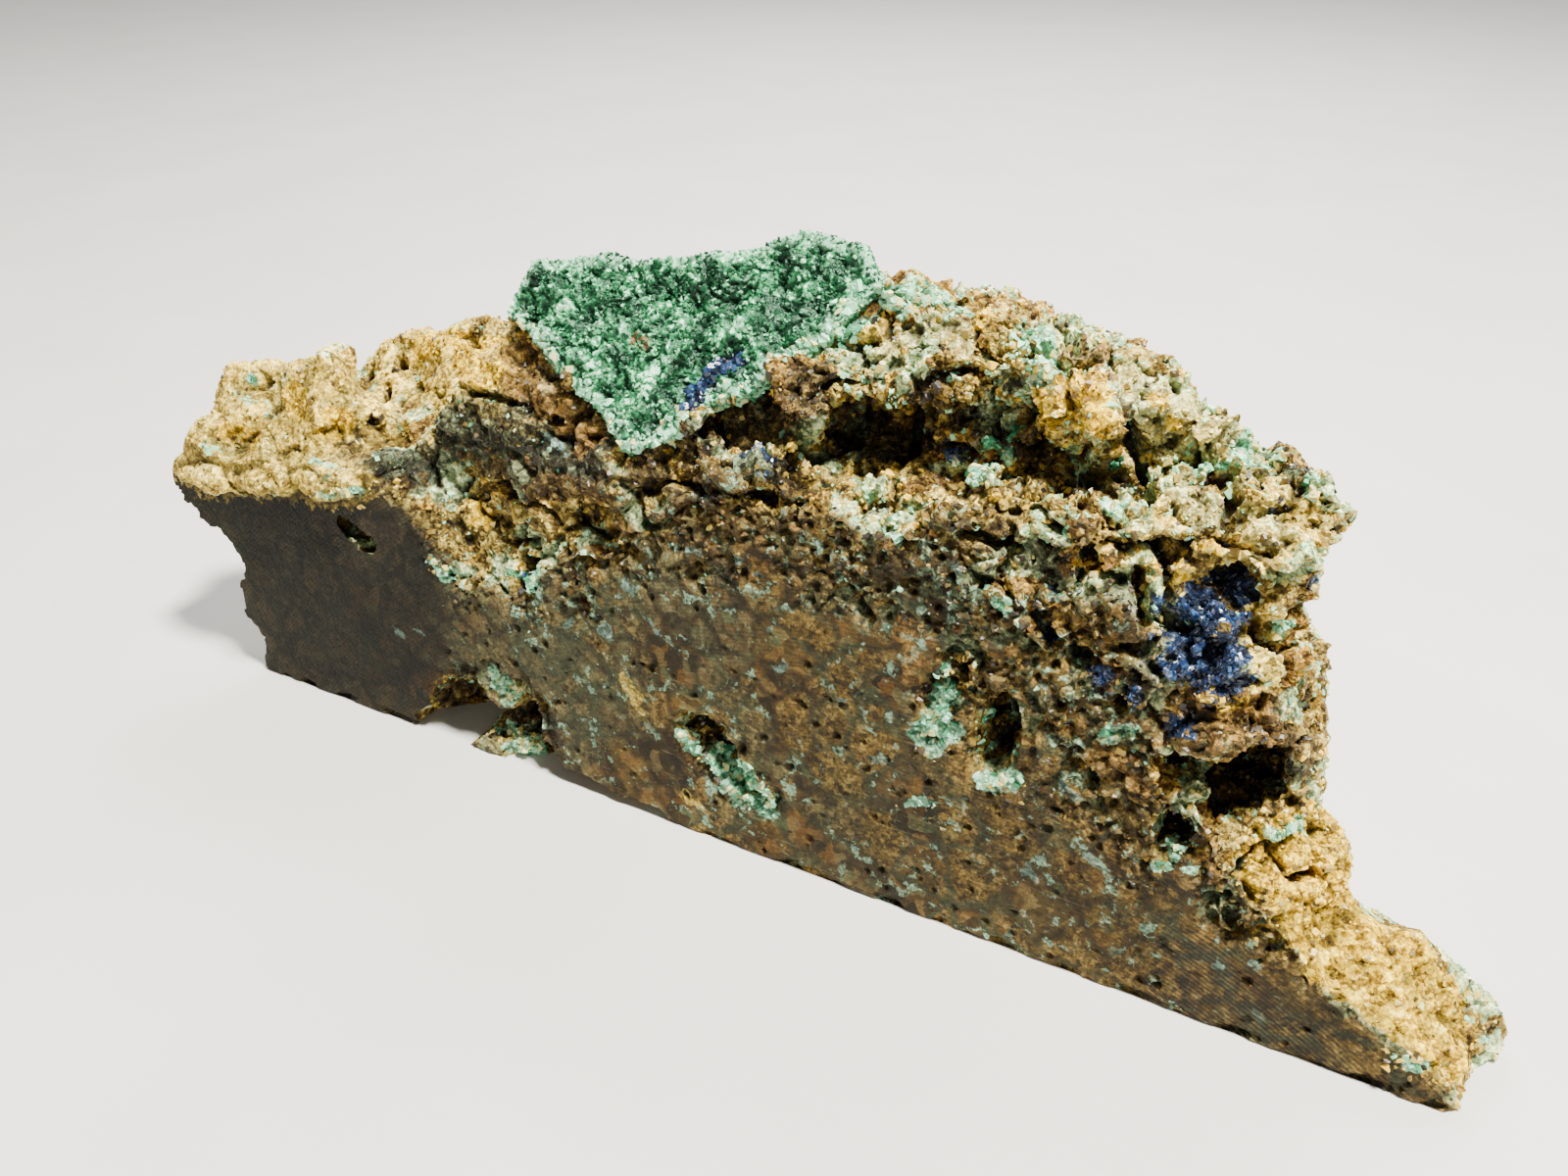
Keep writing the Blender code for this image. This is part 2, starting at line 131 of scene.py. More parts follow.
# Where the sawn face turns from smooth to coarse: x and height of the line between them
COARSE_LINE = [
    (-31, 20), (-22, 17), (-12, 21.5), (-4, 27), (4, 28.5), (12, 28), (18, 26), (24, 23), (32, 17),
    (38, 13), (45, 9.5), (50, 8), (60, 8),
]

# The camera, fitted to the foot of the sawn face and to the plate: its place, turn, dip and lens
EYE = np.array([49.971, -94.254, 81.542])
EYE_TURN = math.radians(28.345)
EYE_DIP = math.radians(31.0)
LENS_MM, SENSOR_MM = 29.25, 36.0
PHOTO_WIDTH, PHOTO_HEIGHT = 1600, 1200

# Strokes of each mineral, of crevices, of dark rock and painted shade, and of crumbly rock: the stroke's
# radius in mm, and the places that it runs through in the photo's pixels. A ray through each place finds it
# on the stone.
STROKES = {
    "ochre": [
        (2.1, (1065, 420), (1095, 396), (1115, 424)), (0.8, (1115, 444)), (0.8, (1000, 318), (1008, 360)),
        (0.8, (1185, 578), (1218, 590)), (1, (485, 515), (492, 530)), (0.9, (1232, 702), (1262, 712)),
        (0.8, (1220, 545), (1245, 560)), (0.7, (1180, 405), (1200, 430)),
        (4.5, (1330, 880), (1395, 975), (1460, 1050)), (2.2, (1290, 900), (1340, 975), (1425, 1060)),
        (1.8, (300, 405), (345, 435)), (1.2, (235, 440), (262, 450)), (1.6, (430, 356), (500, 352)),
        (1.5, (470, 368), (500, 385)), (0.6, (680, 460), (690, 466)), (0.7, (1010, 505), (1045, 520)),
        (1.4, (1340, 850), (1345, 880)),
    ],
    "rust": [
        (1.2, (1090, 355), (1122, 366)), (2.6, (525, 370), (570, 410), (598, 440)), (0.7, (1090, 529)),
        (0.7, (1130, 575), (1150, 585)), (0.5, (795, 623)), (0.6, (828, 645)), (0.5, (900, 756)),
        (0.8, (1095, 725)), (0.7, (1030, 665), (1040, 680)), (1.2, (1110, 770), (1160, 800)),
        (0.7, (655, 348)), (1, (920, 495), (955, 492)), (1.6, (1225, 715), (1265, 712), (1295, 722)),
        (0.7, (515, 615)), (1.2, (1225, 860), (1240, 900)), (1.25, (924, 645), (932, 688)),
        (0.8, (300, 400), (318, 410)), (0.7, (232, 440), (255, 446)), (0.8, (495, 368), (505, 388)),
        (1.9, (1190, 745), (1240, 757), (1285, 762)), (1.2, (1230, 818), (1262, 800)),
    ],
    "tan": [
        (7, (215, 440), (270, 400), (340, 430)), (3.5, (215, 470), (290, 480), (350, 485)),
        (5, (400, 350), (440, 365), (490, 380)), (2, (360, 400), (400, 390)),
        (2.6, (1285, 550), (1310, 520)), (1.6, (1290, 640), (1290, 690)), (0.9, (640, 690), (650, 725)),
        (0.6, (690, 805), (720, 830)), (1.2, (1180, 500), (1190, 540)), (1.2, (880, 330), (905, 345)),
    ],
    "cream": [
        (2.4, (1150, 385), (1185, 420)), (2.4, (1190, 440), (1215, 420)), (2.2, (1240, 450), (1275, 480)),
        (1.6, (1210, 510), (1300, 540)), (1.2, (1150, 540), (1190, 560)), (1.2, (960, 330), (985, 345)),
        (1.2, (930, 345), (900, 360)), (1, (1195, 485), (1250, 476)), (1.2, (1060, 340), (1075, 375)),
        (1, (1258, 560), (1285, 560)), (0.8, (1250, 590), (1275, 600)), (1.8, (500, 748), (535, 758)),
        (1, (505, 690), (530, 700)),
    ],
    "slate": [
        (3.2, (455, 430), (520, 430), (600, 455)), (2, (390, 465), (440, 470)),
        (1.2, (760, 470), (800, 480)),
    ],
    "mint": [
        (1.1, (905, 300), (865, 335), (820, 362), (775, 392)), (0.5, (245, 400), (255, 415)),
        (0.5, (205, 455), (225, 462)), (0.5, (320, 470), (340, 478)), (0.6, (1455, 1095), (1440, 1080)),
        (1.5, (920, 300), (955, 295), (980, 310)), (1, (908, 300), (915, 312)),
        (1.4, (1055, 350), (1066, 380)), (0.9, (1125, 342)), (1, (990, 485), (1025, 470)),
        (0.7, (875, 505), (897, 510)), (0.9, (1130, 520), (1148, 500)), (0.9, (1180, 480), (1255, 478)),
        (1.3, (1275, 458), (1298, 466)), (0.6, (274, 420)), (0.6, (255, 388)), (0.5, (447, 405)),
        (0.6, (330, 507), (350, 505), (372, 503)), (0.7, (440, 575), (475, 598)),
        (0.7, (972, 672), (955, 720), (940, 752)), (0.9, (968, 740), (950, 768)),
        (0.7, (928, 820), (950, 818)), (1, (697, 752), (735, 800), (765, 822)),
        (1.5, (745, 795), (758, 812)), (0.9, (1000, 795), (1035, 800)), (0.6, (1180, 882), (1222, 888)),
        (0.5, (1337, 970)), (0.6, (1432, 1085)), (0.4, (1503, 1042)), (0.4, (1516, 1062)),
        (0.9, (1130, 762), (1150, 745)), (0.6, (1085, 610), (1040, 620)), (0.6, (1010, 600), (1040, 640)),
        (0.8, (1310, 640), (1312, 670)), (0.6, (1345, 690)), (1, (1335, 500)),
        (1.2, (505, 690), (522, 712)), (1.2, (515, 745), (545, 765)), (0.8, (1300, 850), (1330, 845)),
        (0.7, (905, 525), (915, 560)),
    ],
    "green": [
        (0.8, (258, 388)), (0.7, (900, 290), (890, 320), (860, 350)), (0.9, (1015, 452), (1035, 436)),
        (0.7, (1085, 545)), (0.6, (1105, 490), (1140, 480)), (0.4, (735, 775), (745, 785)),
        (0.9, (1010, 770), (1020, 785)), (0.7, (1200, 870)), (0.6, (520, 575), (545, 590)),
        (0.5, (355, 400)),
    ],
    "teal": [
        (0.5, (615, 640), (622, 650)), (0.4, (655, 630), (680, 655)), (0.5, (753, 640), (770, 662)),
        (0.5, (783, 638), (783, 645)), (0.5, (790, 680), (800, 684)), (0.4, (690, 682), (698, 690)),
        (0.5, (800, 762)), (0.5, (808, 782)), (0.6, (864, 770), (874, 768)), (0.5, (892, 772), (908, 780)),
        (0.4, (850, 705), (856, 715)), (0.4, (872, 815), (884, 828)),
        (0.4, (627, 721), (640, 745), (655, 750)), (0.45, (1236, 962)), (0.4, (1250, 975), (1258, 982)),
        (0.45, (1272, 984)), (0.4, (1284, 990)), (0.4, (1244, 990)), (0.35, (1262, 1000)),
        (0.4, (1205, 950)), (0.5, (985, 888)), (0.6, (1040, 885), (1085, 922)), (0.6, (968, 930)),
        (0.6, (1025, 952)), (0.5, (1135, 752)), (0.6, (560, 450), (580, 455)),
        (0.5, (600, 462), (620, 470)), (0.5, (960, 560), (975, 590)), (0.4, (750, 575), (770, 590)),
        (0.5, (690, 560), (720, 570)), (0.5, (830, 560), (850, 575)), (0.5, (640, 600), (655, 612)),
        (0.5, (560, 620), (580, 640)), (0.4, (860, 640), (870, 660)), (0.6, (1080, 800), (1100, 820)),
        (0.4, (1040, 850), (1050, 870)), (0.5, (1110, 870), (1130, 890)), (0.4, (1060, 700), (1065, 730)),
        (0.6, (300, 555)), (0.5, (400, 640), (430, 650)),
    ],
    "blue": [
        (2, (1205, 640), (1228, 660), (1248, 676)), (1.3, (1190, 622), (1205, 632)),
        (1.3, (1225, 620), (1262, 640)), (0.6, (1112, 690), (1135, 715)), (0.5, (1150, 700), (1160, 725)),
        (1.1, (1235, 588), (1262, 594), (1272, 604)), (1.6, (1200, 675), (1255, 690)),
        (0.8, (1215, 600), (1222, 618)), (0.7, (1300, 520)), (0.9, (1338, 590)), (0.8, (1332, 632)),
        (0.7, (1070, 640), (1080, 648)), (0.6, (1130, 690)), (0.5, (1132, 716)),
        (0.9, (1195, 738), (1215, 745)), (0.5, (1208, 770)), (0.8, (970, 455), (980, 470)),
        (0.8, (768, 465), (780, 472)), (0.6, (538, 582)),
        (0.9, (708, 414), (716, 400), (726, 386), (738, 378), (752, 370)), (1, (1262, 640), (1268, 670)),
        (0.5, (1075, 600)), (0.5, (1325, 700)),
    ],
    "crevice": [
        (0.9, (1085, 475), (1130, 492), (1178, 500)), (0.7, (1178, 500), (1215, 488), (1258, 478)),
        (0.7, (1135, 375), (1145, 410), (1155, 445), (1165, 478)),
        (0.6, (1062, 446), (1075, 480), (1120, 486)), (0.7, (1000, 400), (1035, 385)),
        (0.7, (1165, 585), (1168, 640)), (0.6, (1235, 545), (1300, 562)),
        (0.7, (775, 398), (745, 418), (720, 440)), (0.7, (800, 372), (850, 350)),
        (0.6, (980, 545), (1040, 560)), (0.6, (395, 395), (380, 430)), (0.8, (405, 368), (412, 372)),
        (0.6, (700, 470), (760, 455), (820, 440)), (0.5, (880, 520), (940, 505)),
        (0.6, (1080, 330), (1100, 350)), (0.6, (1320, 900), (1345, 890)), (0.6, (560, 430), (610, 450)),
        (0.6, (480, 400), (520, 410)),
    ],
    # Dark rock, and painted shade in the cave, under the azurite, in hollows of the sawn face and in the
    # notch and arch at the foot
    "dark": [
        (2.2, (870, 450), (930, 455)), (1.4, (1000, 445), (1060, 455)), (1.6, (505, 745)),
        (1.2, (555, 735), (565, 755)), (3, (450, 440), (520, 470), (600, 480)),
        (2, (350, 440), (390, 470), (430, 480)), (2.2, (700, 450), (760, 430), (820, 410)),
        (1.6, (860, 420), (900, 440)), (1.4, (940, 400), (990, 420)), (1.2, (1090, 478), (1140, 492)),
        (1.6, (650, 490), (720, 500)), (1.6, (1150, 600), (1160, 640)), (1.4, (1190, 660), (1165, 700)),
        (1.6, (1300, 740), (1318, 755)), (2.2, (1235, 808), (1275, 792), (1312, 772)),
        (1.6, (380, 540), (400, 545)), (1.5, (1010, 550), (1080, 580)), (1.2, (1290, 470), (1325, 490)),
        (2.2, (457, 706), (470, 712)), (1.3, (795, 382), (835, 385)), (1.2, (655, 455), (700, 470)),
    ],
    "crumb": [
        (5, (700, 440), (780, 410), (850, 350)), (6, (940, 330), (1010, 370), (1090, 400)),
        (6, (1180, 400), (1240, 460), (1310, 520)), (6, (1300, 600), (1310, 680)),
        (6, (1150, 560), (1060, 540)), (4, (900, 500), (980, 520)), (3, (1220, 640), (1230, 700)),
        (3, (720, 480), (830, 500)), (4, (1290, 800), (1320, 860)),
    ],
}
# Painted shade in the dark notch at the foot, which those rays don't reach: its radius and its line in mm
NOTCH_SHADE = (4.0, [(-25.0, -12.0, 4.0), (-18.0, -12.0, 5.0)])

# Each mineral's share in its patches and its colours from dark to light
MINERALS = [
    ("tan", 0.85, [(0.2, "57481a"), (0.4, "977f30"), (0.56, "ccad43"), (0.78, "ecd67e")]),
    ("cream", 0.7, [(0.2, "5c5832"), (0.5, "a9a365"), (0.8, "dad9a2")]),
    # Dark rock, and painted shade where the dark strokes lie in hollows
    ("dark", 0.75, [(0.2, "120d09"), (0.5, "2a2117"), (0.8, "4a3c29")]),
    ("slate", 0.75, [(0.2, "0c0f0c"), (0.45, "20251b"), (0.62, "3a4636"), (0.85, "5f7a66")]),
    ("rust", 0.85, [(0.2, "261a09"), (0.42, "4f3914"), (0.6, "775826"), (0.8, "a18045")]),
    ("ochre", 0.95, [(0.2, "483605"), (0.36, "8c6b08"), (0.5, "bd9712"), (0.64, "dbb92c"), (0.85, "f0dc7c")]),
    ("teal", 0.75, [(0.2, "2c3d35"), (0.5, "55746a"), (0.8, "8bada0")]),
    ("green", 0.9, [(0.2, "0b3120"), (0.5, "1d5e3f"), (0.8, "45966c")]),
    ("mint", 0.9, [(0.2, "3a7353"), (0.5, "7ab995"), (0.8, "bfe6cd")]),
]

# The ten kinds of grain: from dark brown over golden brown to cream, then ochre, rust, mint and green
GRAIN_COLOURS = [
    (0.0, "1c1509"), (0.1, "453513"), (0.2, "6f5a21"), (0.3, "978139"), (0.4, "b9a857"),
    (0.5, "c8c68a"), (0.6, "d3ad38"), (0.7, "6a4b1a"), (0.8, "8cc7a2"), (0.9, "2e7650"),
]
GRAIN_KINDS = np.arange(10) / 10 + 0.05
# How many in a hundred grains of a patch are of each kind
GRAIN_ODDS = [
    ("tan", (2, 5, 14, 32, 32, 8, 3, 0, 4, 0)),
    ("cream", (2, 6, 12, 22, 32, 19, 2, 0, 5, 0)),
    # Grains in dark patches are dark rock and painted shade; those in crevices are darkened as painted shade
    ("dark", (50, 36, 10, 2, 0, 0, 0, 1, 1, 0)),
    ("crevice", (70, 28, 2, 0, 0, 0, 0, 0, 0, 0)),
    ("slate", (62, 20, 5, 1, 0, 1, 0, 0, 4, 7)),
    ("rust", (16, 42, 20, 3, 0, 0, 2, 17, 0, 0)),
    ("ochre", (0, 4, 18, 24, 10, 1, 40, 3, 0, 0)),
    ("mint", (0, 1, 2, 4, 8, 20, 0, 0, 47, 18)),
    ("green", (2, 0, 0, 0, 0, 2, 0, 0, 30, 66)),
]
FROST_ODDS = (0, 0, 0, 20, 33, 27, 0, 0, 20, 0)
SAWN_ODDS = (25, 36, 22, 7, 0, 0, 0, 5, 5, 0)
# Grains in the sawn face's holes are mostly the darkest kind, as painted shade
HOLE_ODDS = (60, 20, 0, 0, 0, 0, 0, 0, 0, 20)
RIM_ODDS = (0, 0, 0, 0, 0, 14, 0, 0, 64, 22)
RUST_GRAIN, MINT_GRAIN, OCHRE_GRAIN = 0.75, 0.85, 0.65

# Lamps: place and sides in metres, power in watts and the light's colour
LAMPS = [
    ("key", (0.14, -0.03, 0.46), (0.07, 0.07), 11.5, (1.0, 0.965, 0.87)),
    ("back", (-0.12, 0.40, 0.42), (0.22, 0.22), 3.6, (1.0, 0.98, 0.95)),
    ("far", (-0.5, 1.3, 1.2), (1.4, 1.4), 26.0, (1.0, 0.98, 0.95)),
    ("front", (0.25, -0.55, 0.22), (0.35, 0.35), 0.45, (1.0, 0.98, 0.95)),
]


def tint(code):
    """A colour as a maker writes it, such as 7a5230, in Blender's linear numbers."""
    parts = [int(code[i:i + 2], 16) / 255 for i in (0, 2, 4)]
    return tuple(c / 12.92 if c <= 0.04045 else ((c + 0.055) / 1.055) ** 2.4 for c in parts) + (1.0,)


class Wire:
    """A socket inside a finish. Arithmetic on it adds Math nodes."""

    def __init__(self, finish, socket):
        self.finish = finish
        self.socket = socket

    def maths(self, operation, first, second=0.0):
        return self.finish.node("ShaderNodeMath", {"operation": operation}, {0: first, 1: second})

    def __add__(self, other):
        return self.maths("ADD", self, other)

    __radd__ = __add__

    def __sub__(self, other):
        return self.maths("SUBTRACT", self, other)

    def __rsub__(self, other):
        return self.maths("SUBTRACT", other, self)

    def __mul__(self, other):
        return self.maths("MULTIPLY", self, other)

    __rmul__ = __mul__

    def above(self, other):
        return self.maths("MAXIMUM", self, other)

    def wave(self):
        return self.maths("SINE", self)

    def step(self, low, high):
        """0 below low, 1 above high and smooth between."""
        ends = {"Value": self, "From Min": low, "From Max": high}
        return self.finish.node("ShaderNodeMapRange", {"interpolation_type": "SMOOTHSTEP"}, ends)


class Finish:
    """One procedural material: its nodes and its Principled shader."""

    def __init__(self, name, **constants):
        self.material = bpy.data.materials.new(name)
        self.material.use_nodes = True
        self.tree = self.material.node_tree
        self.shader = self.tree.nodes["Principled BSDF"]
        for socket, value in constants.items():
            self.shader.inputs[socket.replace("_", " ")].default_value = value
        here = self.node("ShaderNodeTexCoord", output="Object")
        self.place = self.vector("SCALE", here, scale=1 / MM)

    def node(self, kind, settings=None, inputs=None, output=0):
        made = self.tree.nodes.new(kind)
        for key, value in (settings or {}).items():
            if key == "stops":
                self.set_stops(made.color_ramp, *value)
            else:
                setattr(made, key, value)
        for key, value in (inputs or {}).items():
            if isinstance(value, Wire):
                self.tree.links.new(value.socket, made.inputs[key])
            else:
                made.inputs[key].default_value = value
        return Wire(self, made.outputs[output])

    @staticmethod
    def set_stops(ramp, stops, mode):
        ramp.interpolation = mode
        while len(ramp.elements) < len(stops):
            ramp.elements.new(0.5)
        for element, (position, code) in zip(ramp.elements, stops):
            element.position = position
            element.color = tint(code)

    def vector(self, operation, first, second=(0.0, 0.0, 0.0), scale=1.0, output=0):
        inputs = {0: first, 3: scale} if operation == "SCALE" else {0: first, 1: second}
        return self.node("ShaderNodeVectorMath", {"operation": operation}, inputs, output)

    def noise(self, size, detail=2.0, rough=0.5, where=None, output=0):
        inputs = {"Vector": where or self.place, "Scale": 1 / size, "Detail": detail, "Roughness": rough}
        return self.node("ShaderNodeTexNoise", None, inputs, output)

    def cells(self, size, output="Distance", where=None, feature="F1"):
        inputs = {"Vector": where or self.place, "Scale": 1 / size}
        return self.node("ShaderNodeTexVoronoi", {"feature": feature}, inputs, output)

    def warped(self, size, amount):
        """The places, pushed about by noise."""
        push = self.vector("SUBTRACT", self.noise(size, 2.0, output=1), (0.5, 0.5, 0.5))
        return self.vector("ADD", self.place, self.vector("SCALE", push, scale=amount))

    def part(self, colour, output=0):
        return self.node("ShaderNodeSeparateColor", None, {0: colour}, output)

    def ramp(self, value, *stops, mode="LINEAR"):
        return self.node("ShaderNodeValToRGB", {"stops": (stops, mode)}, {0: value})

    def mix(self, share, first, second, blend="MIX"):
        first = tint(first) if isinstance(first, str) else first
        second = tint(second) if isinstance(second, str) else second
        settings = {"data_type": "RGBA", "blend_type": blend}
        return self.node("ShaderNodeMix", settings, {0: share, 6: first, 7: second}, 2)

    def tone(self, colour, value):
        """The colour, lighter or darker by a value about 1."""
        grey = self.node("ShaderNodeCombineColor", None, {0: value, 1: value, 2: value})
        return self.mix(1.0, colour, grey, "MULTIPLY")

    def layer(self, name):
        return self.node("ShaderNodeAttribute", {"attribute_name": name}, output="Fac")

    def bumped(self, height, distance, strength):
        inputs = {"Height": height, "Distance": distance * MM, "Strength": strength}
        return self.node("ShaderNodeBump", None, inputs)

    def use(self, **sockets):
        for socket, wire in sockets.items():
            self.tree.links.new(wire.socket, self.shader.inputs[socket.replace("_", " ")])
        return self.material


def gossan_finish():
    """Brown iron-oxide rock: matt where it is sawn, grainy where it is broken, with its minerals."""
    f = Finish("gossan", Roughness=0.75, Specular_IOR_Level=0.18)
    edge = f.noise(0.9, 4.0, 0.65) - 0.5
    fine = f.noise(0.28, 3.0, 0.6)
    cloud = f.noise(9.0, 2.0)
    warp = f.warped(1.6, 1.5)
    bent = f.warped(0.8, 1.2)
    gritty = f.part(f.cells(0.42, "Color"))
    grain = f.part(f.cells(0.8, "Color", f.warped(0.5, 0.5)))
    mottle = fine * 0.6 + gritty * 0.22 + grain * 0.28 - 0.05
    sawn = f.layer("sawn")
    coarse = f.layer("coarse")
    marks = (f.vector("DISTANCE", f.place, SAW_MARK_CENTRE, output="Value") * SAW_MARK_SPEED).wave()
    marks = marks * f.layer("sawmarks")

    def patch(kind, wobble=1.3):
        return (f.layer(kind) + edge * wobble).step(-0.08, 0.08)

    cut = sawn_colour(f, mottle, cloud, warp)
    cut = sawn_flecks(f, cut, fine, coarse, bent)
    # Painted shade: the sawn face darkens under the cap's overhang at the left, and a little at the tail
    cut = f.tone(cut, 1 - f.layer("painted_cap_shade_and_dark_tail") * 0.78 + marks * 0.22)
    broken = broken_colour(f, mottle, cloud, warp, bent)
    frosting = f.ramp(mottle, (0.25, "4a6442"), (0.5, "98b583"), (0.75, "d9ebbf"))
    broken = f.mix(patch("frost", 0.9) * 0.7, broken, frosting)
    colour = f.mix(sawn, broken, cut)
    hold = 1 - sawn * 0.35
    # The minerals' patches; the dark patches are partly painted shade
    for kind, share, stops in MINERALS:
        colour = f.mix(patch(kind) * share * hold, colour, f.ramp(mottle, *stops))
    blue = patch("blue")
    # Azurite's colours on the rock; the palest are painted glints
    azure = f.ramp(mottle, (0.2, "04060f"), (0.5, "101c33"), (0.72, "2c4870"), (0.9, "8398aa"))
    colour = f.mix(blue * 0.95, colour, azure)
    colour = f.tone(colour, fine * 1.45 + gritty * 0.6 - 0.03)
    # Painted shade in cracks and hollows and painted light on tips, from how far each point stands out
    colour = f.tone(colour, f.layer("cavity").step(-1.4, 1.2) * 1.25 + 0.14)

    height = f.noise(0.5, 4.0, 0.6) + f.noise(0.16, 2.0) * 0.4 + gritty * (coarse * 0.5 + 0.12) + marks * 0.3
    rough = 0.82 - sawn * 0.12 - blue * 0.35 + (fine - 0.5) * 0.2
    return f.use(Base_Color=colour, Roughness=rough, Normal=f.bumped(height, 0.26, 0.9))


def sawn_colour(f, mottle, cloud, warp):
    """The sawn rock: big and small fragments in a grey-brown matrix, with a few scratches."""
    big = f.part(f.cells(4.2, "Color", warp))
    chosen = f.part(f.cells(4.2, "Color", warp), 2)
    small = f.part(f.cells(1.3, "Color", warp), 1)
    seam = f.cells(4.2, where=warp, feature="DISTANCE_TO_EDGE").step(0.02, 0.14)
    across = f.part(f.place) * 0.0045
    fragments = f.ramp(
        big, (0.0, "1a160d"), (0.25, "352b13"), (0.45, "433824"), (0.62, "5a451d"), (0.78, "3d3828"),
        (1.0, "665329"),
    )
    pieces = f.ramp(
        small, (0.0, "0f0c07"), (0.3, "2e2414"), (0.5, "4a3c22"), (0.7, "6e4a1a"), (0.88, "84704a"),
        (1.0, "48604a"),
    )
    golden = f.ramp(mottle, (0.25, "1d1608"), (0.42, "463717"), (0.58, "6a562a"), (0.75, "8e7a4b"))
    olive = f.ramp(mottle, (0.3, "39392a"), (0.7, "666750"))
    cut = f.mix(0.52, fragments, pieces)
    cut = f.mix((chosen * 0.5 + cloud * 0.5 + across).step(0.5, 0.66) * 0.75, cut, golden)
    cut = f.mix((f.noise(12.0, 3.0) - across).step(0.48, 0.62) * 0.5, cut, olive)
    cut = f.mix((1 - seam) * 0.7, cut, f.mix(cloud.step(0.45, 0.6), "221b10", "2f3a2d"))
    stretch = {"Vector": f.place, "Rotation": (0.0, 0.62, 0.0), "Scale": (0.22, 1.0, 4.5)}
    scratch = f.noise(1.0, 2.0, where=f.node("ShaderNodeMapping", None, stretch)).step(0.66, 0.76)
    cut = f.mix(scratch * 0.2, cut, "a59a80")
    return f.mix(1.0, cut, "e8e4cc", "MULTIPLY")


def sawn_flecks(f, cut, fine, coarse, bent):
    """Green flecks on the sawn face, and green crusts in its coarse areas."""
    blots = f.noise(1.5, 3.0, 0.6, where=bent).step(0.59, 0.63) * f.noise(5.0, 2.0).step(0.45, 0.54)
    dots = f.noise(0.62, 3.0, 0.6).step(0.63, 0.68) * f.noise(3.0, 2.0).step(0.45, 0.6)
    crusts = f.noise(1.1, 3.0, 0.65, where=bent).step(0.56, 0.62) * f.noise(6.0, 2.0).step(0.4, 0.55)
    flecks = (blots * 0.7).above(dots * 0.6) * f.layer("flecks")
    cut = f.mix(flecks, cut, f.ramp(fine, (0.3, "4c6b55"), (0.7, "93b79c")))
    return f.mix(crusts * coarse * 0.55, cut, f.ramp(fine, (0.3, "3f6a50"), (0.7, "9cc7a6")))


def broken_colour(f, mottle, cloud, warp, bent):
    """The broken rock: brown grains, with rusty areas, golden bits and dark bits."""
    broken = f.ramp(
        mottle, (0.2, "1b1508"), (0.36, "443514"), (0.48, "6c5824"), (0.6, "92803e"), (0.75, "b8a962"),
        (0.9, "d6cf98"),
    )
    rusty = f.ramp(mottle, (0.2, "1e1204"), (0.4, "5b3910"), (0.6, "92641c"), (0.8, "c39434"))
    golden = f.ramp(mottle, (0.2, "4a3205"), (0.5, "b58a1c"), (0.8, "e6c668"))
    dark = f.ramp(mottle, (0.2, "120d05"), (0.5, "3f2d14"), (0.8, "70562c"))
    broken = f.mix(cloud.step(0.46, 0.62) * 0.6, broken, rusty)
    broken = f.mix(f.noise(2.0, 3.0, 0.6, where=bent).step(0.57, 0.62) * 0.6, broken, golden)
    return f.mix(f.noise(1.5, 3.0, 0.6, where=warp).step(0.58, 0.64) * 0.65, broken, dark)


def crumb_finish():
    """Loose grains: 'kind' picks the mineral of each grain and 'tone' its lightness, darker in hollows as
    painted shade.
    """
    f = Finish("crumb", Roughness=0.42, Specular_IOR_Level=0.5)
    base = f.ramp(f.layer("kind"), *GRAIN_COLOURS, mode="CONSTANT")
    colour = f.tone(base, f.layer("tone") * 1.05 + 0.25 + f.noise(0.22, 2.0) * 0.45)
    return f.use(Base_Color=colour, Normal=f.bumped(f.noise(0.2, 3.0), 0.06, 0.6))


def malachite_finish():
    """Green crystals: painted shade between them, painted light and painted glints at their tips, pale along
    the broken rim.
    """
    f = Finish("malachite", Roughness=0.36, Specular_IOR_Level=0.5, Specular_Tint=(0.55, 1.0, 0.72, 1.0))
    fine = f.noise(0.22, 3.0, 0.6)
    painted_glint = f.part(f.cells(0.36, "Color")).step(0.86, 0.96)
    # Painted shade between the crystals and painted light on their tips, from how far each point stands out,
    # with painted glints
    light = f.layer("cavity").step(-1.6, 2.2) * 0.6 + f.noise(2.6, 2.0, 0.5) * 1.8 + f.layer("light") * 0.5
    light = light + (fine - 0.5) * 0.6 + painted_glint * 0.5 + f.layer("tone") * 0.25 - 0.84
    colour = f.ramp(
        light, (0.15, "041b0e"), (0.4, "113f24"), (0.6, "276c43"), (0.76, "4da26d"), (1.0, "b8efc8")
    )
    rim = (f.layer("rim") + (f.noise(1.6, 4.0) - 0.5) * 3.0).step(0.1, 0.8)
    colour = f.mix(rim * 0.78, colour, f.ramp(fine, (0.2, "5aa378"), (0.5, "90cfa6"), (0.8, "d0f0d6")))
    brown = f.layer("spot").step(0.0, 0.3)
    colour = f.mix(brown, colour, f.ramp(fine, (0.3, "3c2413"), (0.7, "8a5a34")))
    return f.use(Base_Color=colour, Normal=f.bumped(f.noise(0.18, 3.0, 0.6), 0.12, 0.8))


def azurite_finish():
    """Deep blue glassy crystals, with painted glints at their palest tone."""
    f = Finish("azurite", Roughness=0.16, Specular_IOR_Level=0.6)
    shade = f.noise(0.5, 2.0) * 0.6 + f.layer("tone") * 0.5
    # The palest stop is painted glints
    colour = f.ramp(
        shade, (0.2, "02040b"), (0.48, "081224"), (0.66, "0f264c"), (0.82, "33547f"), (0.96, "a3b7c8")
    )
    rough = 0.14 + f.noise(0.5, 2.0) * 0.35
    return f.use(Base_Color=colour, Roughness=rough, Normal=f.bumped(f.noise(0.3, 2.0), 0.05, 0.5))


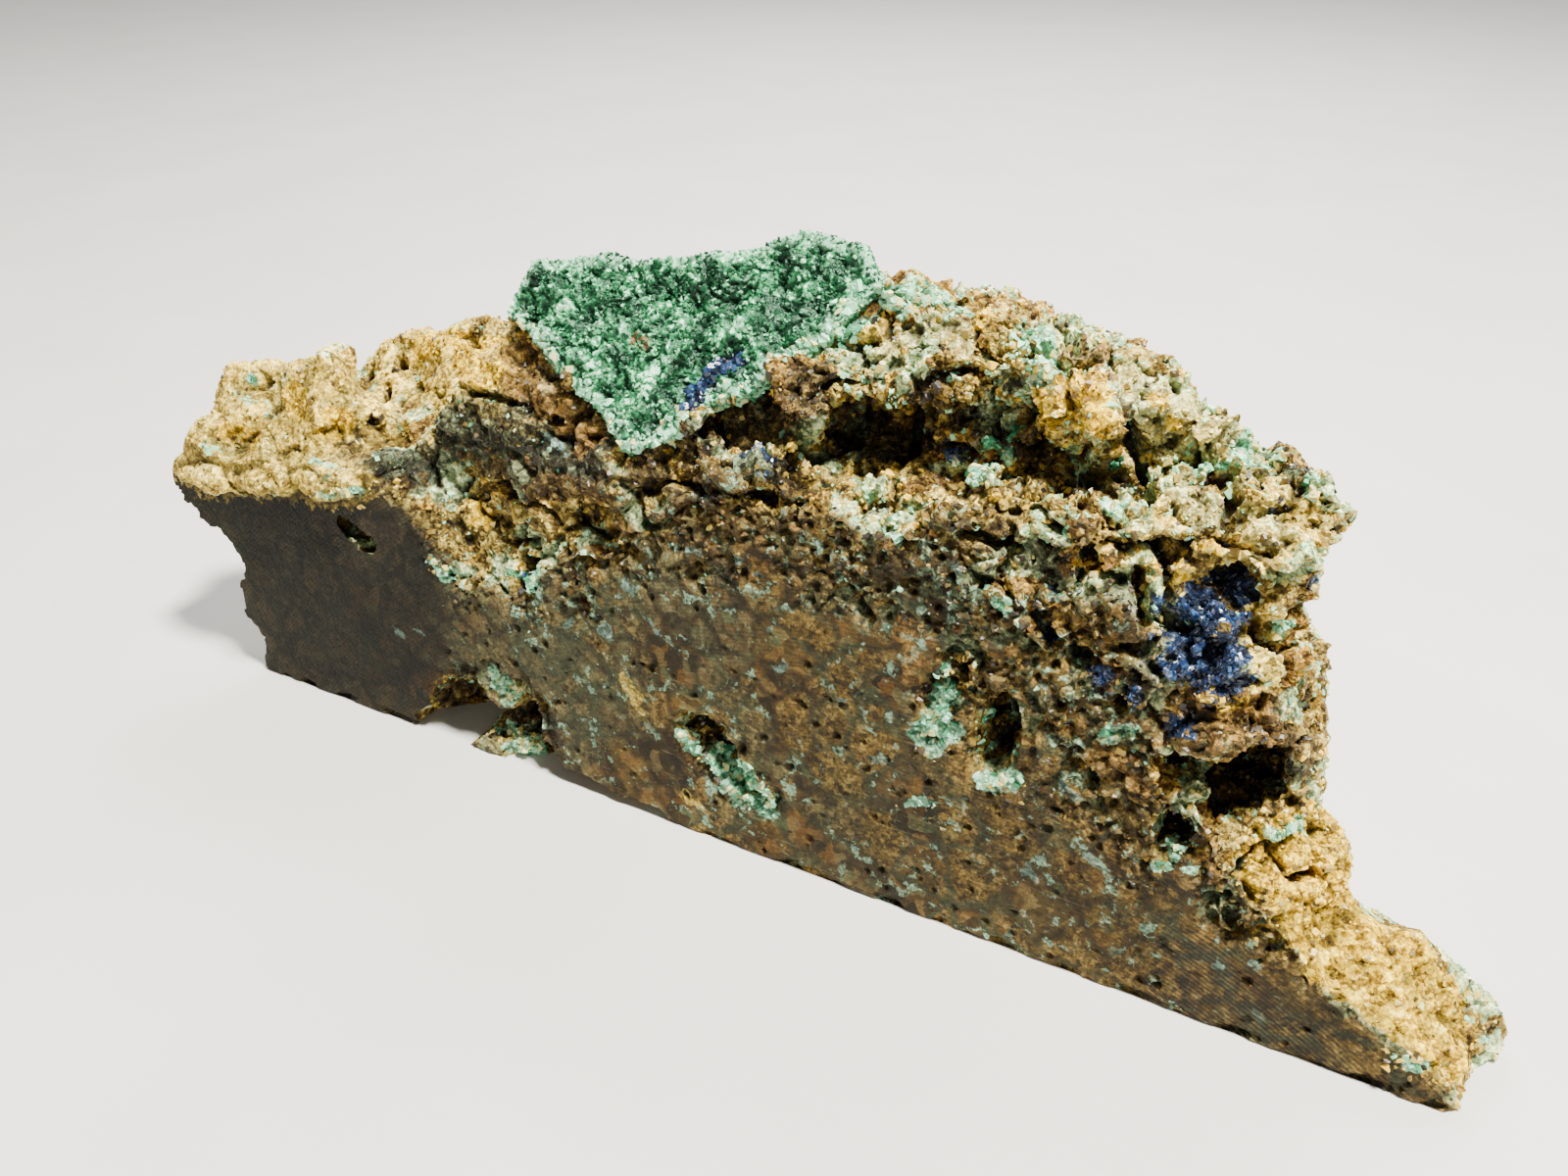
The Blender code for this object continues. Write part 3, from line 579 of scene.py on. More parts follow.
def table_finish():
    """A plain pale table top."""
    f = Finish("table_top", Roughness=0.55, Specular_IOR_Level=0.3)
    return f.use(Base_Color=f.ramp(f.noise(30.0, 3.0), (0.3, "c9c7c3"), (0.7, "cfcdc9")))


def deselect():
    if bpy.context.mode != "OBJECT":
        bpy.ops.object.mode_set(mode="OBJECT")
    bpy.ops.object.select_all(action="DESELECT")


def edit_all():
    """Edit mode, with everything selected."""
    bpy.ops.object.mode_set(mode="EDIT")
    bpy.ops.mesh.select_all(action="SELECT")


def pick(piece):
    deselect()
    piece.select_set(True)
    bpy.context.view_layer.objects.active = piece


def finish_modifier(piece, kind, **settings):
    """Adds a modifier and applies it."""
    pick(piece)
    modifier = piece.modifiers.new(kind.lower(), kind)
    for key, value in settings.items():
        setattr(modifier, key, value)
    bpy.ops.object.modifier_apply(modifier=modifier.name)


def thin_out(piece, triangles):
    """Leaves the piece at most this many triangles. Its faces are quads before."""
    faces = len(piece.data.polygons) * 2
    finish_modifier(piece, "DECIMATE", ratio=min(1.0, triangles / faces))


def rows_of(items, name, width=3, kind=float):
    """One property of all the items, as rows of numbers."""
    flat = np.zeros(len(items) * width, kind)
    items.foreach_get(name, flat)
    return flat.reshape(-1, width)


def points_of(piece):
    return rows_of(piece.data.vertices, "co") / MM


def normals_of(piece):
    return rows_of(piece.data.vertices, "normal")


def set_points(piece, points):
    piece.data.vertices.foreach_set("co", (points * MM).ravel())
    piece.data.update()


def set_layer(piece, name, values):
    layer = piece.data.attributes.new(name, "FLOAT", "POINT")
    layer.data.foreach_set("value", np.asarray(values, np.float32))


def unit(rows):
    return rows / np.linalg.norm(rows, axis=1)[:, None]


def fade(start, end, x):
    """0 at the start, 1 at the end and smooth between. It falls with x where the start is above the end."""
    t = np.clip((x - start) / (end - start), 0, 1)
    return t * t * (3 - 2 * t)


def perlin(points, size, shift=0.0):
    move = Vector((shift, shift, shift))
    return np.array([noise.noise(Vector(p) / size + move) for p in points])


def pushed(points, size):
    return np.array([noise.noise_vector(Vector(p) / size) for p in points])


def cell_relief(points, size):
    """Distances to the nearest two cell points and a slant value of the nearest cell, each in cells."""
    rows = []
    for point in points:
        at = Vector(point) / size
        distances, cells = noise.voronoi(at)
        slant = (at - cells[0]).dot(noise.cell_vector(cells[0] * 7.3) - Vector((0.5, 0.5, 0.5)))
        rows.append((distances[0], distances[1], slant))
    return np.array(rows).T


def line_distance(points, line):
    """Distance of each point from a line through the given places."""
    line = np.array(line, float)
    best = np.linalg.norm(points - line[0], axis=1)
    for start, end in zip(line[:-1], line[1:]):
        along = end - start
        share = np.clip((points - start) @ along / (along @ along), 0, 1)
        best = np.minimum(best, np.linalg.norm(points - start - share[:, None] * along, axis=1))
    return best


def nearest_distance(targets, points):
    """Distance of each point from the nearest of the targets."""
    tree = KDTree(len(targets))
    for index, target in enumerate(targets):
        tree.insert(target, index)
    tree.balance()
    return np.array([tree.find(point)[2] for point in points])


def camera_axes():
    """The camera's directions: ahead, to its right and up."""
    level = math.cos(EYE_DIP)
    ahead = np.array([-math.sin(EYE_TURN) * level, math.cos(EYE_TURN) * level, -math.sin(EYE_DIP)])
    right = np.cross(ahead, (0, 0, 1))
    right /= np.linalg.norm(right)
    return ahead, right, np.cross(right, ahead)


def find_patches(node):
    """The strokes as lines in mm, where rays from the camera through their places meet the stone."""
    faces = [tuple(face.vertices) for face in node.data.polygons]
    tree = BVHTree.FromPolygons(points_of(node).tolist(), faces)
    ahead, right, up = camera_axes()
    pixels_ahead = LENS_MM / SENSOR_MM * PHOTO_WIDTH
    found = {}
    for kind, strokes in STROKES.items():
        found[kind] = []
        for radius, *places in strokes:
            line = []
            for x, y in places:
                across = (x - PHOTO_WIDTH / 2) / pixels_ahead
                down = (y - PHOTO_HEIGHT / 2) / pixels_ahead
                spot = tree.ray_cast(Vector(EYE), Vector(ahead + right * across - up * down))[0]
                line.append(tuple(round(number, 1) for number in spot))
            found[kind].append((radius, line))
    found["dark"].append(NOTCH_SHADE)
    return found


def patch_field(points, kind):
    """1 in the middle of a patch of that kind, 0 at its edge and -1 well outside."""
    field = np.full(len(points), -1.0)
    for radius, line in patches[kind]:
        field = np.maximum(field, 1 - line_distance(points, line) / radius)
    return field


def drifted(points):
    """The points moved by soft noise, so that patches get natural outlines."""
    return points + pushed(points, 1.7) * 0.9 + pushed(points, 0.7) * 0.35


def vug_field(points, lined=False):
    """Above 0 inside the hollows of the sawn face, and with lined only on their malachite side."""
    field = np.full(len(points), -1.0)
    for centre, radii, tilt, side in VUGS:
        turn = np.array(Matrix.Rotation(math.radians(tilt), 3, "Y"))
        away = points - np.array(centre)
        inside = 1.18 - np.linalg.norm((away @ turn.T) / np.array(radii), axis=1)
        if lined:
            toward = away[:, 0] * math.cos(math.radians(side)) + away[:, 2] * math.sin(math.radians(side))
            inside -= fade(0.1, -0.9, toward / radii[0])
        field = np.maximum(field, inside)
    return field


def hole_share(points):
    """1 in the middle of each dark hole of the sawn face and 0 outside, and how deep it goes."""
    share = np.zeros(len(points))
    depth = np.zeros(len(points))
    for (x, z), (half_width, half_height), tilt, deep in HOLES:
        turn = math.radians(tilt)
        right = points[:, 0] - x
        high = points[:, 2] - z
        along = (right * math.cos(turn) + high * math.sin(turn)) / half_width
        across = (high * math.cos(turn) - right * math.sin(turn)) / half_height
        inside = fade(1.25, 0.55, np.hypot(along, across))
        share = np.maximum(share, inside)
        depth = np.maximum(depth, inside * deep)
    near = fade(6.0, 4.0, np.abs(saw_distance(points)))
    return share * near, depth * near


def saw_distance(points):
    """How far each point lies behind the saw's plane."""
    return (points[:, 1] - SAW_FOOT_Y) * math.cos(SAW_LEAN) - points[:, 2] * math.sin(SAW_LEAN)


def move_to_saw(points):
    """Slides the points along y onto the saw's plane."""
    points[:, 1] -= saw_distance(points) / math.cos(SAW_LEAN)
    return points


def on_saw(points, near, far):
    """1 on the saw's plane, and 0 deeper than far and on what stands proud of it."""
    depth = saw_distance(points)
    return fade(far, near, depth) * fade(-0.5, -0.2, depth)


def coarse_share(points):
    """1 where the sawn face is coarse and pitted, 0 where the saw left it smooth."""
    line = np.interp(points[:, 0], [x for x, _ in COARSE_LINE], [z for _, z in COARSE_LINE])
    above = points[:, 2] - line + perlin(points, 4.5, 61.0) * 6.0 + perlin(points, 1.6, 63.0) * 2.0
    return fade(-1.5, 2.5, above) * fade(-34.0, -30.0, points[:, 0])


def shade_share(points):
    """1 in the darker areas of the back, which are a few centimetres wide."""
    field = perlin(points, 13.0, 21.0) + perlin(points, 4.5, 22.0) * 0.5
    return fade(-0.16, 0.1, field) * fade(0.0, 7.0, points[:, 1])


def frost_share(points):
    """1 where the broken rock is frosted with pale green, mostly on its thicker right half."""
    field = perlin(points, 3.6, 91.0) + perlin(points, 1.2, 37.0) * 0.6
    behind = fade(3.0, 11.0, points[:, 1]) * 0.3
    right = fade(0.0, 30.0, points[:, 0]) * 0.14
    left = fade(-36.0, -42.0, points[:, 0]) * 0.1
    return fade(0.08, 0.42, field + right + left - behind) * (1 - 0.8 * shade_share(points))


def lining_gaps(points, start, end):
    """1 where the hollows' malachite lining has gaps."""
    return fade(start, end, perlin(points, 1.6, 3.0))


def cavity_of(piece, rounds=6):
    """How far each point stands out from its neighbours: above 0 on tips and below 0 in cracks."""
    points = points_of(piece)
    a, b = rows_of(piece.data.edges, "vertices", 2, np.int64).T
    count = np.bincount(a, minlength=len(points)) + np.bincount(b, minlength=len(points))
    mean = points.copy()
    for _ in range(rounds):
        total = np.zeros_like(mean)
        for axis in range(3):
            total[:, axis] = np.bincount(a, mean[b, axis], len(points))
            total[:, axis] += np.bincount(b, mean[a, axis], len(points))
        mean = total / np.maximum(count, 1)[:, None]
    out = ((points - mean) * normals_of(piece)).sum(1)
    return out / (np.std(out) + 1e-9)


def plate_places(points):
    """Places along and up the plate, in mm from its lower tip, with 0 for their third number."""
    away = points - PLATE_TIP
    return np.column_stack([away[:, 0], away @ PLATE_UP, np.zeros(len(points))])


def plate_height(points):
    """How far each point stands above the plate's plane."""
    return (points - PLATE_TIP) @ PLATE_OUT


def plate_line(outline):
    return [(x, y, 0.0) for x, y in outline]


def under_plate(points):
    """True on the rock that the plate covers: inside its outline and near its plane."""
    x, y, _ = plate_places(points).T
    inside = np.zeros(len(points), bool)
    for (x0, y0), (x1, y1) in zip(PLATE_OUTLINE, PLATE_OUTLINE[1:] + PLATE_OUTLINE[:1]):
        crosses = (y0 > y) != (y1 > y)
        inside ^= crosses & (x < x0 + (y - y0) * (x1 - x0) / ((y1 - y0) or 1.0))
    return inside & (np.abs(plate_height(points) + 0.4) < 1.0)


def behind_rim(points):
    """True within 1.6 mm of the plate's upper rim, on the rock behind it."""
    upper = plate_line([place for place in PLATE_OUTLINE if place[1] > 13.0])
    near = line_distance(plate_places(points), upper) < 1.6
    return near & (np.abs(plate_height(points) + 1.2) < 2.2)


def make_stone(node):
    """A copy of the CAD solid, welded and given a fine even mesh."""
    stone = node.copy()
    stone.data = node.data.copy()
    stone.name = "rock"
    stone.data.name = "rock"
    for key in list(stone.keys()):
        del stone[key]
    stone.parent = None
    bpy.context.scene.collection.objects.link(stone)
    pick(stone)
    edit_all()
    bpy.ops.mesh.remove_doubles(threshold=1e-6)
    bpy.ops.object.mode_set(mode="OBJECT")
    finish_modifier(stone, "REMESH", mode="VOXEL", voxel_size=STONE_VOXEL * MM, adaptivity=0.0)
    return stone


def rock_relief(points, normals):
    """How far each point of the broken rock stands out: blocks, slants and chips, less gaps and cracks."""
    x, y, z = points.T
    bent = points + np.column_stack([perlin(points, 2.0, shift) for shift in (3.0, 13.0, 23.0)]) * 0.9
    near, far, block = cell_relief(bent, BLOCK_SIZE)
    slant = cell_relief(bent + 70.0, SLANT_SIZE)[2]
    chips = cell_relief(bent, CHIP_SIZE)[2]
    gaps = np.maximum(perlin(points, GAP_SIZE, 31.0) - 0.15, 0)
    cracks = fade(0.17, 0.0, far - near)
    cracks *= fade(-0.4, 0.15, perlin(points, 6.0, 66.0) - fade(2.0, 9.0, y) * 0.25)
    cap = fade(CAP_START, CAP_FULL, x) * fade(19.0, 23.0, z)
    large = 1 - 0.7 * fade(TAIL_START, TAIL_FULL, x) - 0.6 * cap
    amount = perlin(points, 2.3) * 0.25 + perlin(points, 1.0, 9.0) * 0.22
    amount += (block * BLOCK_HEIGHT + slant * SLANT_HEIGHT - cracks * CRACK_DEPTH) * large
    amount += chips * (CHIP_HEIGHT - 0.45 * cap) - gaps * (GAP_DEPTH - 1.1 * cap)
    amount += np.abs(perlin(points, 3.4, 55.0)) * -0.9 * large + 0.22
    amount *= 0.55 + 0.45 * np.clip(patch_field(points, "crumb") + 0.7, 0, 1)
    amount -= fade(0.0, 0.8, patch_field(points, "crevice")) * CREVICE_DEPTH
    amount[z + normals[:, 2] * amount < 0.1] = 0
    return amount


def sawn_relief(points, broken):
    """How far each point of the sawn face sinks: grain, pits and grooves, and chips beside broken rock."""
    x, _, z = points.T
    coarse = coarse_share(points)
    near, _, chips = cell_relief(points, 1.1)
    crumbs = cell_relief(points + 20.0, 0.62)[2]
    holes = perlin(points, 1.4, 17.0)
    pits = fade(0.45, 0.12, near) * fade(0.0, 0.25, holes)
    grooves = np.maximum(perlin(points, 0.7, 4.0), 0) + np.maximum(perlin(points, 2.0, 14.0), 0)
    sink = 0.04 + coarse * (0.3 + chips * 0.95 + crumbs * 0.4 + grooves * 0.7 + pits * 0.9)
    sink += pits * fade(0.25, 0.4, holes) * 0.5 * fade(-36.0, -26.0, x) + grooves * 0.05
    chipped = fade(-0.3, 0.2, perlin(points, 2.1, 27.0)) * fade(3.0, 6.0, z)
    chipped *= fade(-33.0, -29.0, x) * fade(2.4, 0.2, nearest_distance(broken, points))
    sink += chipped * (0.6 + np.abs(perlin(points, 0.9, 28.0)) * 1.6 + chips * 0.8)
    foot = fade(1.3, 0.1, z) * fade(-0.15, 0.35, perlin(points, 2.6, 8.0))
    sink += foot * (0.45 + np.abs(perlin(points, 0.9, 2.0)) * 0.8)
    return np.maximum(sink, 0.0)


def shape_stone(stone):
    """Gives the stone its relief, makes room for the plate, and lines and deepens its hollows."""
    points = points_of(stone)
    normals = normals_of(stone)
    depth = saw_distance(points)
    facing = normals @ SAW_NORMAL
    sawn = on_saw(points, 0.12, 0.35) * fade(0.6, 0.9, facing)
    plate = under_plate(points) & (normals @ PLATE_OUT > 0.85)
    hidden = behind_rim(points)
    rough = 1 - sawn
    rough[plate | hidden | (points[:, 2] < 0.25)] = 0
    moved = points.copy()
    moved[plate] -= PLATE_OUT * PLATE_SINK
    free = rough > 0.02
    moved[free] += normals[free] * (rock_relief(points[free], normals[free]) * rough[free])[:, None]
    moved[free, 2] = np.maximum(moved[free, 2], 0.0)
    moved[hidden] -= normals[hidden] * 0.7
    proud = (saw_distance(moved) < 0.0) & (depth > -0.15)
    moved[proud] = move_to_saw(moved[proud])

    flat = sawn > 0.3
    sink = sawn_relief(points[flat], points[(depth > 0.7) & (points[:, 2] > 4.0)])
    moved[flat] = move_to_saw(points[flat]) - SAW_NORMAL * sink[:, None]

    filled = fade(0.0, 0.35, vug_field(points, lined=True)) * (1 - hole_share(points)[0])
    lined = filled > 0
    spots = points[lined]
    level = 1.0 + perlin(spots, 1.5, 81.0) * 0.9 + perlin(spots, 0.8, 82.0) * 0.5
    rise = np.clip(saw_distance(moved[lined]) - level, 0.0, 4.0) * filled[lined]
    moved[lined] += SAW_NORMAL * rise[:, None]
    front = facing > -0.2
    deep = hole_share(points)[1][front] * (1 + perlin(points[front], 0.9, 77.0) * 0.5)
    moved[front] -= SAW_NORMAL * deep[:, None]
    set_points(stone, moved)
    thin_out(stone, STONE_TRIANGLES)
    settled = points_of(stone)
    settled[:, 2] = np.maximum(settled[:, 2], 0.0)
    set_points(stone, settled)


def colour_stone(stone):
    """Writes the layers that the stone's finish reads."""
    points = points_of(stone)
    x, _, z = points.T
    sawn = on_saw(points, 0.4, 1.3) * fade(-0.2, 0.3, normals_of(stone) @ SAW_NORMAL)
    sawn = sawn * fade(0.35, 0.1, vug_field(points))
    coarse = coarse_share(points)
    hole = hole_share(points)[0]
    spots = drifted(points)
    set_layer(stone, "sawn", sawn)
    set_layer(stone, "coarse", coarse * sawn)
    set_layer(stone, "cavity", cavity_of(stone))
    tail = fade(40, 46, x) * fade(9.5, 7.0, z + (x - 45) * 0.5)
    set_layer(stone, "sawmarks", (tail + 0.25) * sawn * (1 - coarse))
    for kind in ("rust", "tan", "cream", "slate", "teal", "green", "blue"):
        set_layer(stone, kind, patch_field(spots, kind))
    off_tail = 1 - sawn * fade(40.0, 44.0, x) * 2.0
    set_layer(stone, "ochre", np.minimum(patch_field(spots, "ochre"), off_tail))
    # Dark rock, with painted shade in crevices, the cave, the notch and the sawn face's holes
    dark_rock_and_painted_shade = np.maximum(patch_field(spots, "dark"), patch_field(spots, "crevice") * 1.2)
    dark_rock_and_painted_shade = np.maximum(dark_rock_and_painted_shade, shade_share(points) * 0.95 - 0.8)
    set_layer(stone, "dark", np.maximum(dark_rock_and_painted_shade, hole * 1.6 - 0.9))
    set_layer(stone, "frost", frost_share(points) * 2 - 1)
    # Painted shade of the cap's overhang on the left of the sawn face, and a slightly darker sawn face at the
    # tail
    set_layer(stone, "painted_cap_shade_and_dark_tail", (fade(-24.0, -34.0, x) + fade(34.0, 44.0, x) * 0.35) * sawn)
    set_layer(stone, "flecks", fade(-36.0, -24.0, x) * fade(54.0, 46.0, x))
    lined = vug_field(spots, lined=True) * 1.6 - 0.1 - 0.6 * lining_gaps(points, -0.1, 0.4) - hole
    set_layer(stone, "mint", np.maximum(patch_field(spots, "mint"), np.maximum(lined, -1)))


def make_crust():
    """The malachite plate: its jagged outline drawn out to a slab, then grown over with fine crystals."""
    deselect()
    bpy.ops.mesh.primitive_circle_add(vertices=len(PLATE_OUTLINE), radius=0.01, fill_type="NGON")
    crust = bpy.context.object
    crust.name = "malachite_crust"
    crust.data.name = "malachite_crust"
    across = np.array([(x * PLATE_WIDER, 0, 0) for x, _ in PLATE_OUTLINE])
    upward = np.array([y * PLATE_HIGHER - PLATE_DROP for _, y in PLATE_OUTLINE])
    set_points(crust, PLATE_TIP + across + upward[:, None] * PLATE_UP - PLATE_OUT * PLATE_BACK)
    edit_all()
    draw_out = {"value": tuple(PLATE_OUT * PLATE_THICKNESS * MM), "orient_type": "GLOBAL"}
    bpy.ops.mesh.extrude_region_move(TRANSFORM_OT_translate=draw_out)
    bpy.ops.mesh.select_all(action="SELECT")
    bpy.ops.mesh.normals_make_consistent(inside=False)
    bpy.ops.object.mode_set(mode="OBJECT")
    finish_modifier(crust, "REMESH", mode="VOXEL", voxel_size=PLATE_VOXEL * MM, adaptivity=0.0)
    finish_modifier(crust, "SMOOTH", factor=0.5, iterations=3)

    outline = plate_line(PLATE_OUTLINE + PLATE_OUTLINE[:1])
    points = points_of(crust)
    edge = fade(0.0, 1.4, line_distance(plate_places(points), outline))
    top = fade(-0.6, -0.1, plate_height(points))
    bent = points + pushed(points, 1.1) * 0.5
    near, _, slant = cell_relief(bent, 1.25)
    near_fine, _, slant_fine = cell_relief(bent + 40.0, 0.6)
    swell = perlin(points, 3.8) * 0.8 + perlin(points, 1.7, 5.0) * 0.5
    clump = fade(0.0, 0.45, perlin(points, 2.1, 44.0))
    amount = swell * 1.15 + 0.1 + slant * 0.85 + slant_fine * 0.45
    amount += (0.5 - near_fine) * 0.3 + (0.5 - near) * 0.7 * clump
    amount *= 0.35 + 0.65 * edge * top
    set_points(crust, points + normals_of(crust) * amount[:, None])
    thin_out(crust, PLATE_TRIANGLES)

    points = points_of(crust)
    flat = plate_places(points)
    low_left = fade(9.0, -5.0, flat[:, 1] + (flat[:, 0] * 0.55 + flat[:, 1] * 0.2))
    set_layer(crust, "rim", 1 - line_distance(flat, outline))
    set_layer(crust, "light", perlin(points, 3.0, 12.0) + low_left * 0.5)
    set_layer(crust, "cavity", cavity_of(crust, 4))
    set_layer(crust, "spot", 1 - line_distance(flat, BROWN_SPOT) / BROWN_SPOT_RADIUS)
    return crust


def cut_shape(add_primitive, cuts):
    """A primitive cut by planes, as its points and triangles. The primitive itself is taken away."""
    deselect()
    add_primitive()
    piece = bpy.context.object
    for place, direction in cuts:
        edit_all()
        bpy.ops.mesh.bisect(plane_co=tuple(place), plane_no=tuple(direction), use_fill=True, clear_outer=True)
    edit_all()
    bpy.ops.mesh.quads_convert_to_tris()
    bpy.ops.object.mode_set(mode="OBJECT")
    points = points_of(piece) * MM
    faces = np.array([tuple(face.vertices) for face in piece.data.polygons if len(face.vertices) == 3])
    bpy.data.objects.remove(piece)
    return points, faces


def grain_shapes(count, seed, cuts):
    """Broken grains: cubes with corners and sides cut off."""
    def cube():
        bpy.ops.mesh.primitive_cube_add(size=1.0)

    def broken_sides():
        for _ in range(cuts):
            direction = rng.normal(size=3)
            direction /= np.linalg.norm(direction)
            yield direction * rng.uniform(0.22, 0.42), direction

    rng = np.random.default_rng(seed)
    return [cut_shape(cube, broken_sides()) for _ in range(count)]


def crystal_shapes(count, seed, sides, width, slant):
    """Crystals: prisms with slanted ends."""
    def prism():
        bpy.ops.mesh.primitive_cylinder_add(vertices=sides, radius=width, depth=1.0)

    def slanted_ends():
        for turn in (0.0, math.pi):
            angle = turn + rng.uniform(-0.6, 0.6)
            plane = Vector((math.cos(angle) * slant, math.sin(angle) * slant, 1.0)).normalized()
            yield (0.0, 0.0, rng.uniform(0.28, 0.42)), plane

    rng = np.random.default_rng(seed)
    return [cut_shape(prism, slanted_ends()) for _ in range(count)]


def ground_of(piece):
    """The corners and areas of a piece's triangles, and its points with their normals and cavities."""
    piece.data.calc_loop_triangles()
    corners = rows_of(piece.data.loop_triangles, "vertices", 3, np.int64)
    points = points_of(piece)
    a, b, c = (points[corners[:, i]] for i in range(3))
    area = np.linalg.norm(np.cross(b - a, c - a), axis=1) / 2
    return {
        "corners": corners, "area": area, "points": points, "normals": normals_of(piece),
        "cavity": cavity_of(piece),
    }


def scatter(name, shapes, ground, weight, count, sizes, seed, kinds=None, lean=0.8, sink=0.2):
    """Copies of the shapes on the ground, each placed, turned, sized and coloured by chance."""
    rng = np.random.default_rng(seed)
    chance = ground["area"] * weight[ground["corners"]].mean(axis=1)
    chosen = ground["corners"][rng.choice(len(chance), count, p=chance / chance.sum())]
    share = rng.dirichlet((1.0, 1.0, 1.0), count)[:, :, None]
    centre = (ground["points"][chosen] * share).sum(1)
    upward = unit((ground["normals"][chosen] * share).sum(1))
    axis = unit(upward + rng.normal(size=(count, 3)) * lean)
    side = unit(np.cross(axis, rng.normal(size=(count, 3))))
    turned = np.stack([side, np.cross(axis, side), axis], axis=1)
    size = sizes[0] + (sizes[1] - sizes[0]) * rng.random(count) ** 1.8
    scale = size[:, None] * rng.uniform(0.8, 1.25, (count, 3))
    centre = centre - upward * (size * sink)[:, None]
    which = rng.integers(len(shapes), size=count)
    # Grains in hollows get darker tones, as painted shade
    hollow = ground["cavity"][chosen].mean(axis=1)
    tones_with_hollow_shade = rng.random(count) * 0.35 + np.clip((hollow + 1.2) / 2.6, 0, 1) * 0.65
    kind = kinds(centre, rng) if kinds else np.zeros(count)

    points, triangles, grains = [], [], []
    total = 0
    for index, (corners, faces) in enumerate(shapes):
        here = np.nonzero(which == index)[0]
        placed = (corners[None] * scale[here][:, None]) @ turned[here] + centre[here][:, None]
        placed[:, :, 2] = np.maximum(placed[:, :, 2], GRAIN_FLOOR)
        offset = total + np.arange(len(here)) * len(corners)
        points.append(placed.reshape(-1, 3))
        triangles.append((faces[None] + offset[:, None, None]).reshape(-1, 3))
        grains.append(np.repeat(here, len(corners)))
        total += len(here) * len(corners)
    mesh = bpy.data.meshes.new(name)
    mesh.from_pydata((np.vstack(points) * MM).tolist(), [], np.vstack(triangles).tolist())
    piece = bpy.data.objects.new(name, mesh)
    bpy.context.scene.collection.objects.link(piece)
    grain = np.concatenate(grains)
    set_layer(piece, "tone", tones_with_hollow_shade[grain])
    set_layer(piece, "kind", kind[grain])
    return piece


def pick_kinds(odds, count, rng):
    return rng.choice(GRAIN_KINDS, count, p=np.array(odds) / sum(odds))


def rim_kinds(points, rng):
    return pick_kinds(RIM_ODDS, len(points), rng)


def grain_kinds(points, rng):
    """The mineral of each grain: rock that changes slowly from place to place, and that of its patch."""
    count = len(points)
    shade = shade_share(points)
    hue = perlin(points, 6.0, 71.0) * 0.8 - shade * 0.45 + perlin(points, 2.0, 5.0) * 0.4
    hue += rng.normal(0, 0.17, count)
    rock = GRAIN_KINDS[np.clip(((hue + 0.62) / 1.2 * 5).astype(int), 0, 4)]
    odd = rng.random(count)
    rock[odd < 0.04] = OCHRE_GRAIN
    rock[(odd > 0.04) & (odd < 0.07)] = RUST_GRAIN
    rock[(odd > 0.07) & (odd < 0.1)] = MINT_GRAIN
    cluster = perlin(points, 1.9, 77.0) + rng.normal(0, 0.08, count)
    rock[(cluster > 0.3) & (shade < 0.5)] = OCHRE_GRAIN
    rock[(cluster < -0.34) & (shade < 0.5)] = MINT_GRAIN
    frosted = frost_share(points) * 0.75 > rng.random(count)
    rock[frosted] = pick_kinds(FROST_ODDS, frosted.sum(), rng)
    sawn = on_saw(points, 1.0, 2.0) > 0.5
    rock[sawn] = pick_kinds(SAWN_ODDS, sawn.sum(), rng)
    spots = drifted(points)
    jitter = rng.normal(0, 0.18, count)
    for kind, odds in GRAIN_ODDS:
        inside = patch_field(spots, kind) + jitter > 0
        rock[inside] = pick_kinds(odds, inside.sum(), rng)
    lined = vug_field(points, lined=True) > 0.0
    rock[lined] = rng.choice([MINT_GRAIN, 0.95, 0.55], lined.sum(), p=[0.55, 0.3, 0.15])
    inside = hole_share(points)[0] > 0.5
    rock[inside] = pick_kinds(HOLE_ODDS, inside.sum(), rng)
    return rock


def dress(piece, finish, smooth=None):
    """Gives the piece its finish and its place in the frame. Edges sharper than smooth degrees stay sharp."""
    piece.data.materials.clear()
    piece.data.materials.append(finish)
    pick(piece)
    if smooth is None:
        bpy.ops.object.shade_flat()
    else:
        bpy.ops.object.shade_smooth_by_angle(angle=math.radians(smooth))
    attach(piece, "root")


def make_table():
    deselect()
    bpy.ops.mesh.primitive_plane_add(size=4.0, location=(0, 0, 0))
    table = bpy.context.object
    table.name = "table_top"
    table.data.materials.append(table_finish())


def make_lights():
    world = bpy.data.worlds.new("studio")
    world.use_nodes = True
    world.node_tree.nodes["Background"].inputs[0].default_value = (0.93, 0.95, 1.0, 1.0)
    world.node_tree.nodes["Background"].inputs[1].default_value = 0.16
    bpy.context.scene.world = world
    for name, place, size, power, colour in LAMPS:
        light = bpy.data.lights.new(name, "AREA")
        light.shape = "RECTANGLE"
        light.size, light.size_y = size
        light.energy = power
        light.color = colour
        lamp = bpy.data.objects.new(name, light)
        lamp.location = place
        lamp.rotation_euler = (Vector((0, 0, 0.02)) - Vector(place)).to_track_quat("-Z", "Y").to_euler()
        bpy.context.scene.collection.objects.link(lamp)


def make_camera():
    lens = bpy.data.cameras.new("camera")
    lens.lens = LENS_MM
    lens.sensor_width = SENSOR_MM
    lens.clip_start = 0.01
    camera = bpy.data.objects.new("camera", lens)
    camera.location = Vector(EYE) * MM
    camera.rotation_euler = Vector(camera_axes()[0]).to_track_quat("-Z", "Y").to_euler()
    bpy.context.scene.collection.objects.link(camera)
    bpy.context.scene.camera = camera


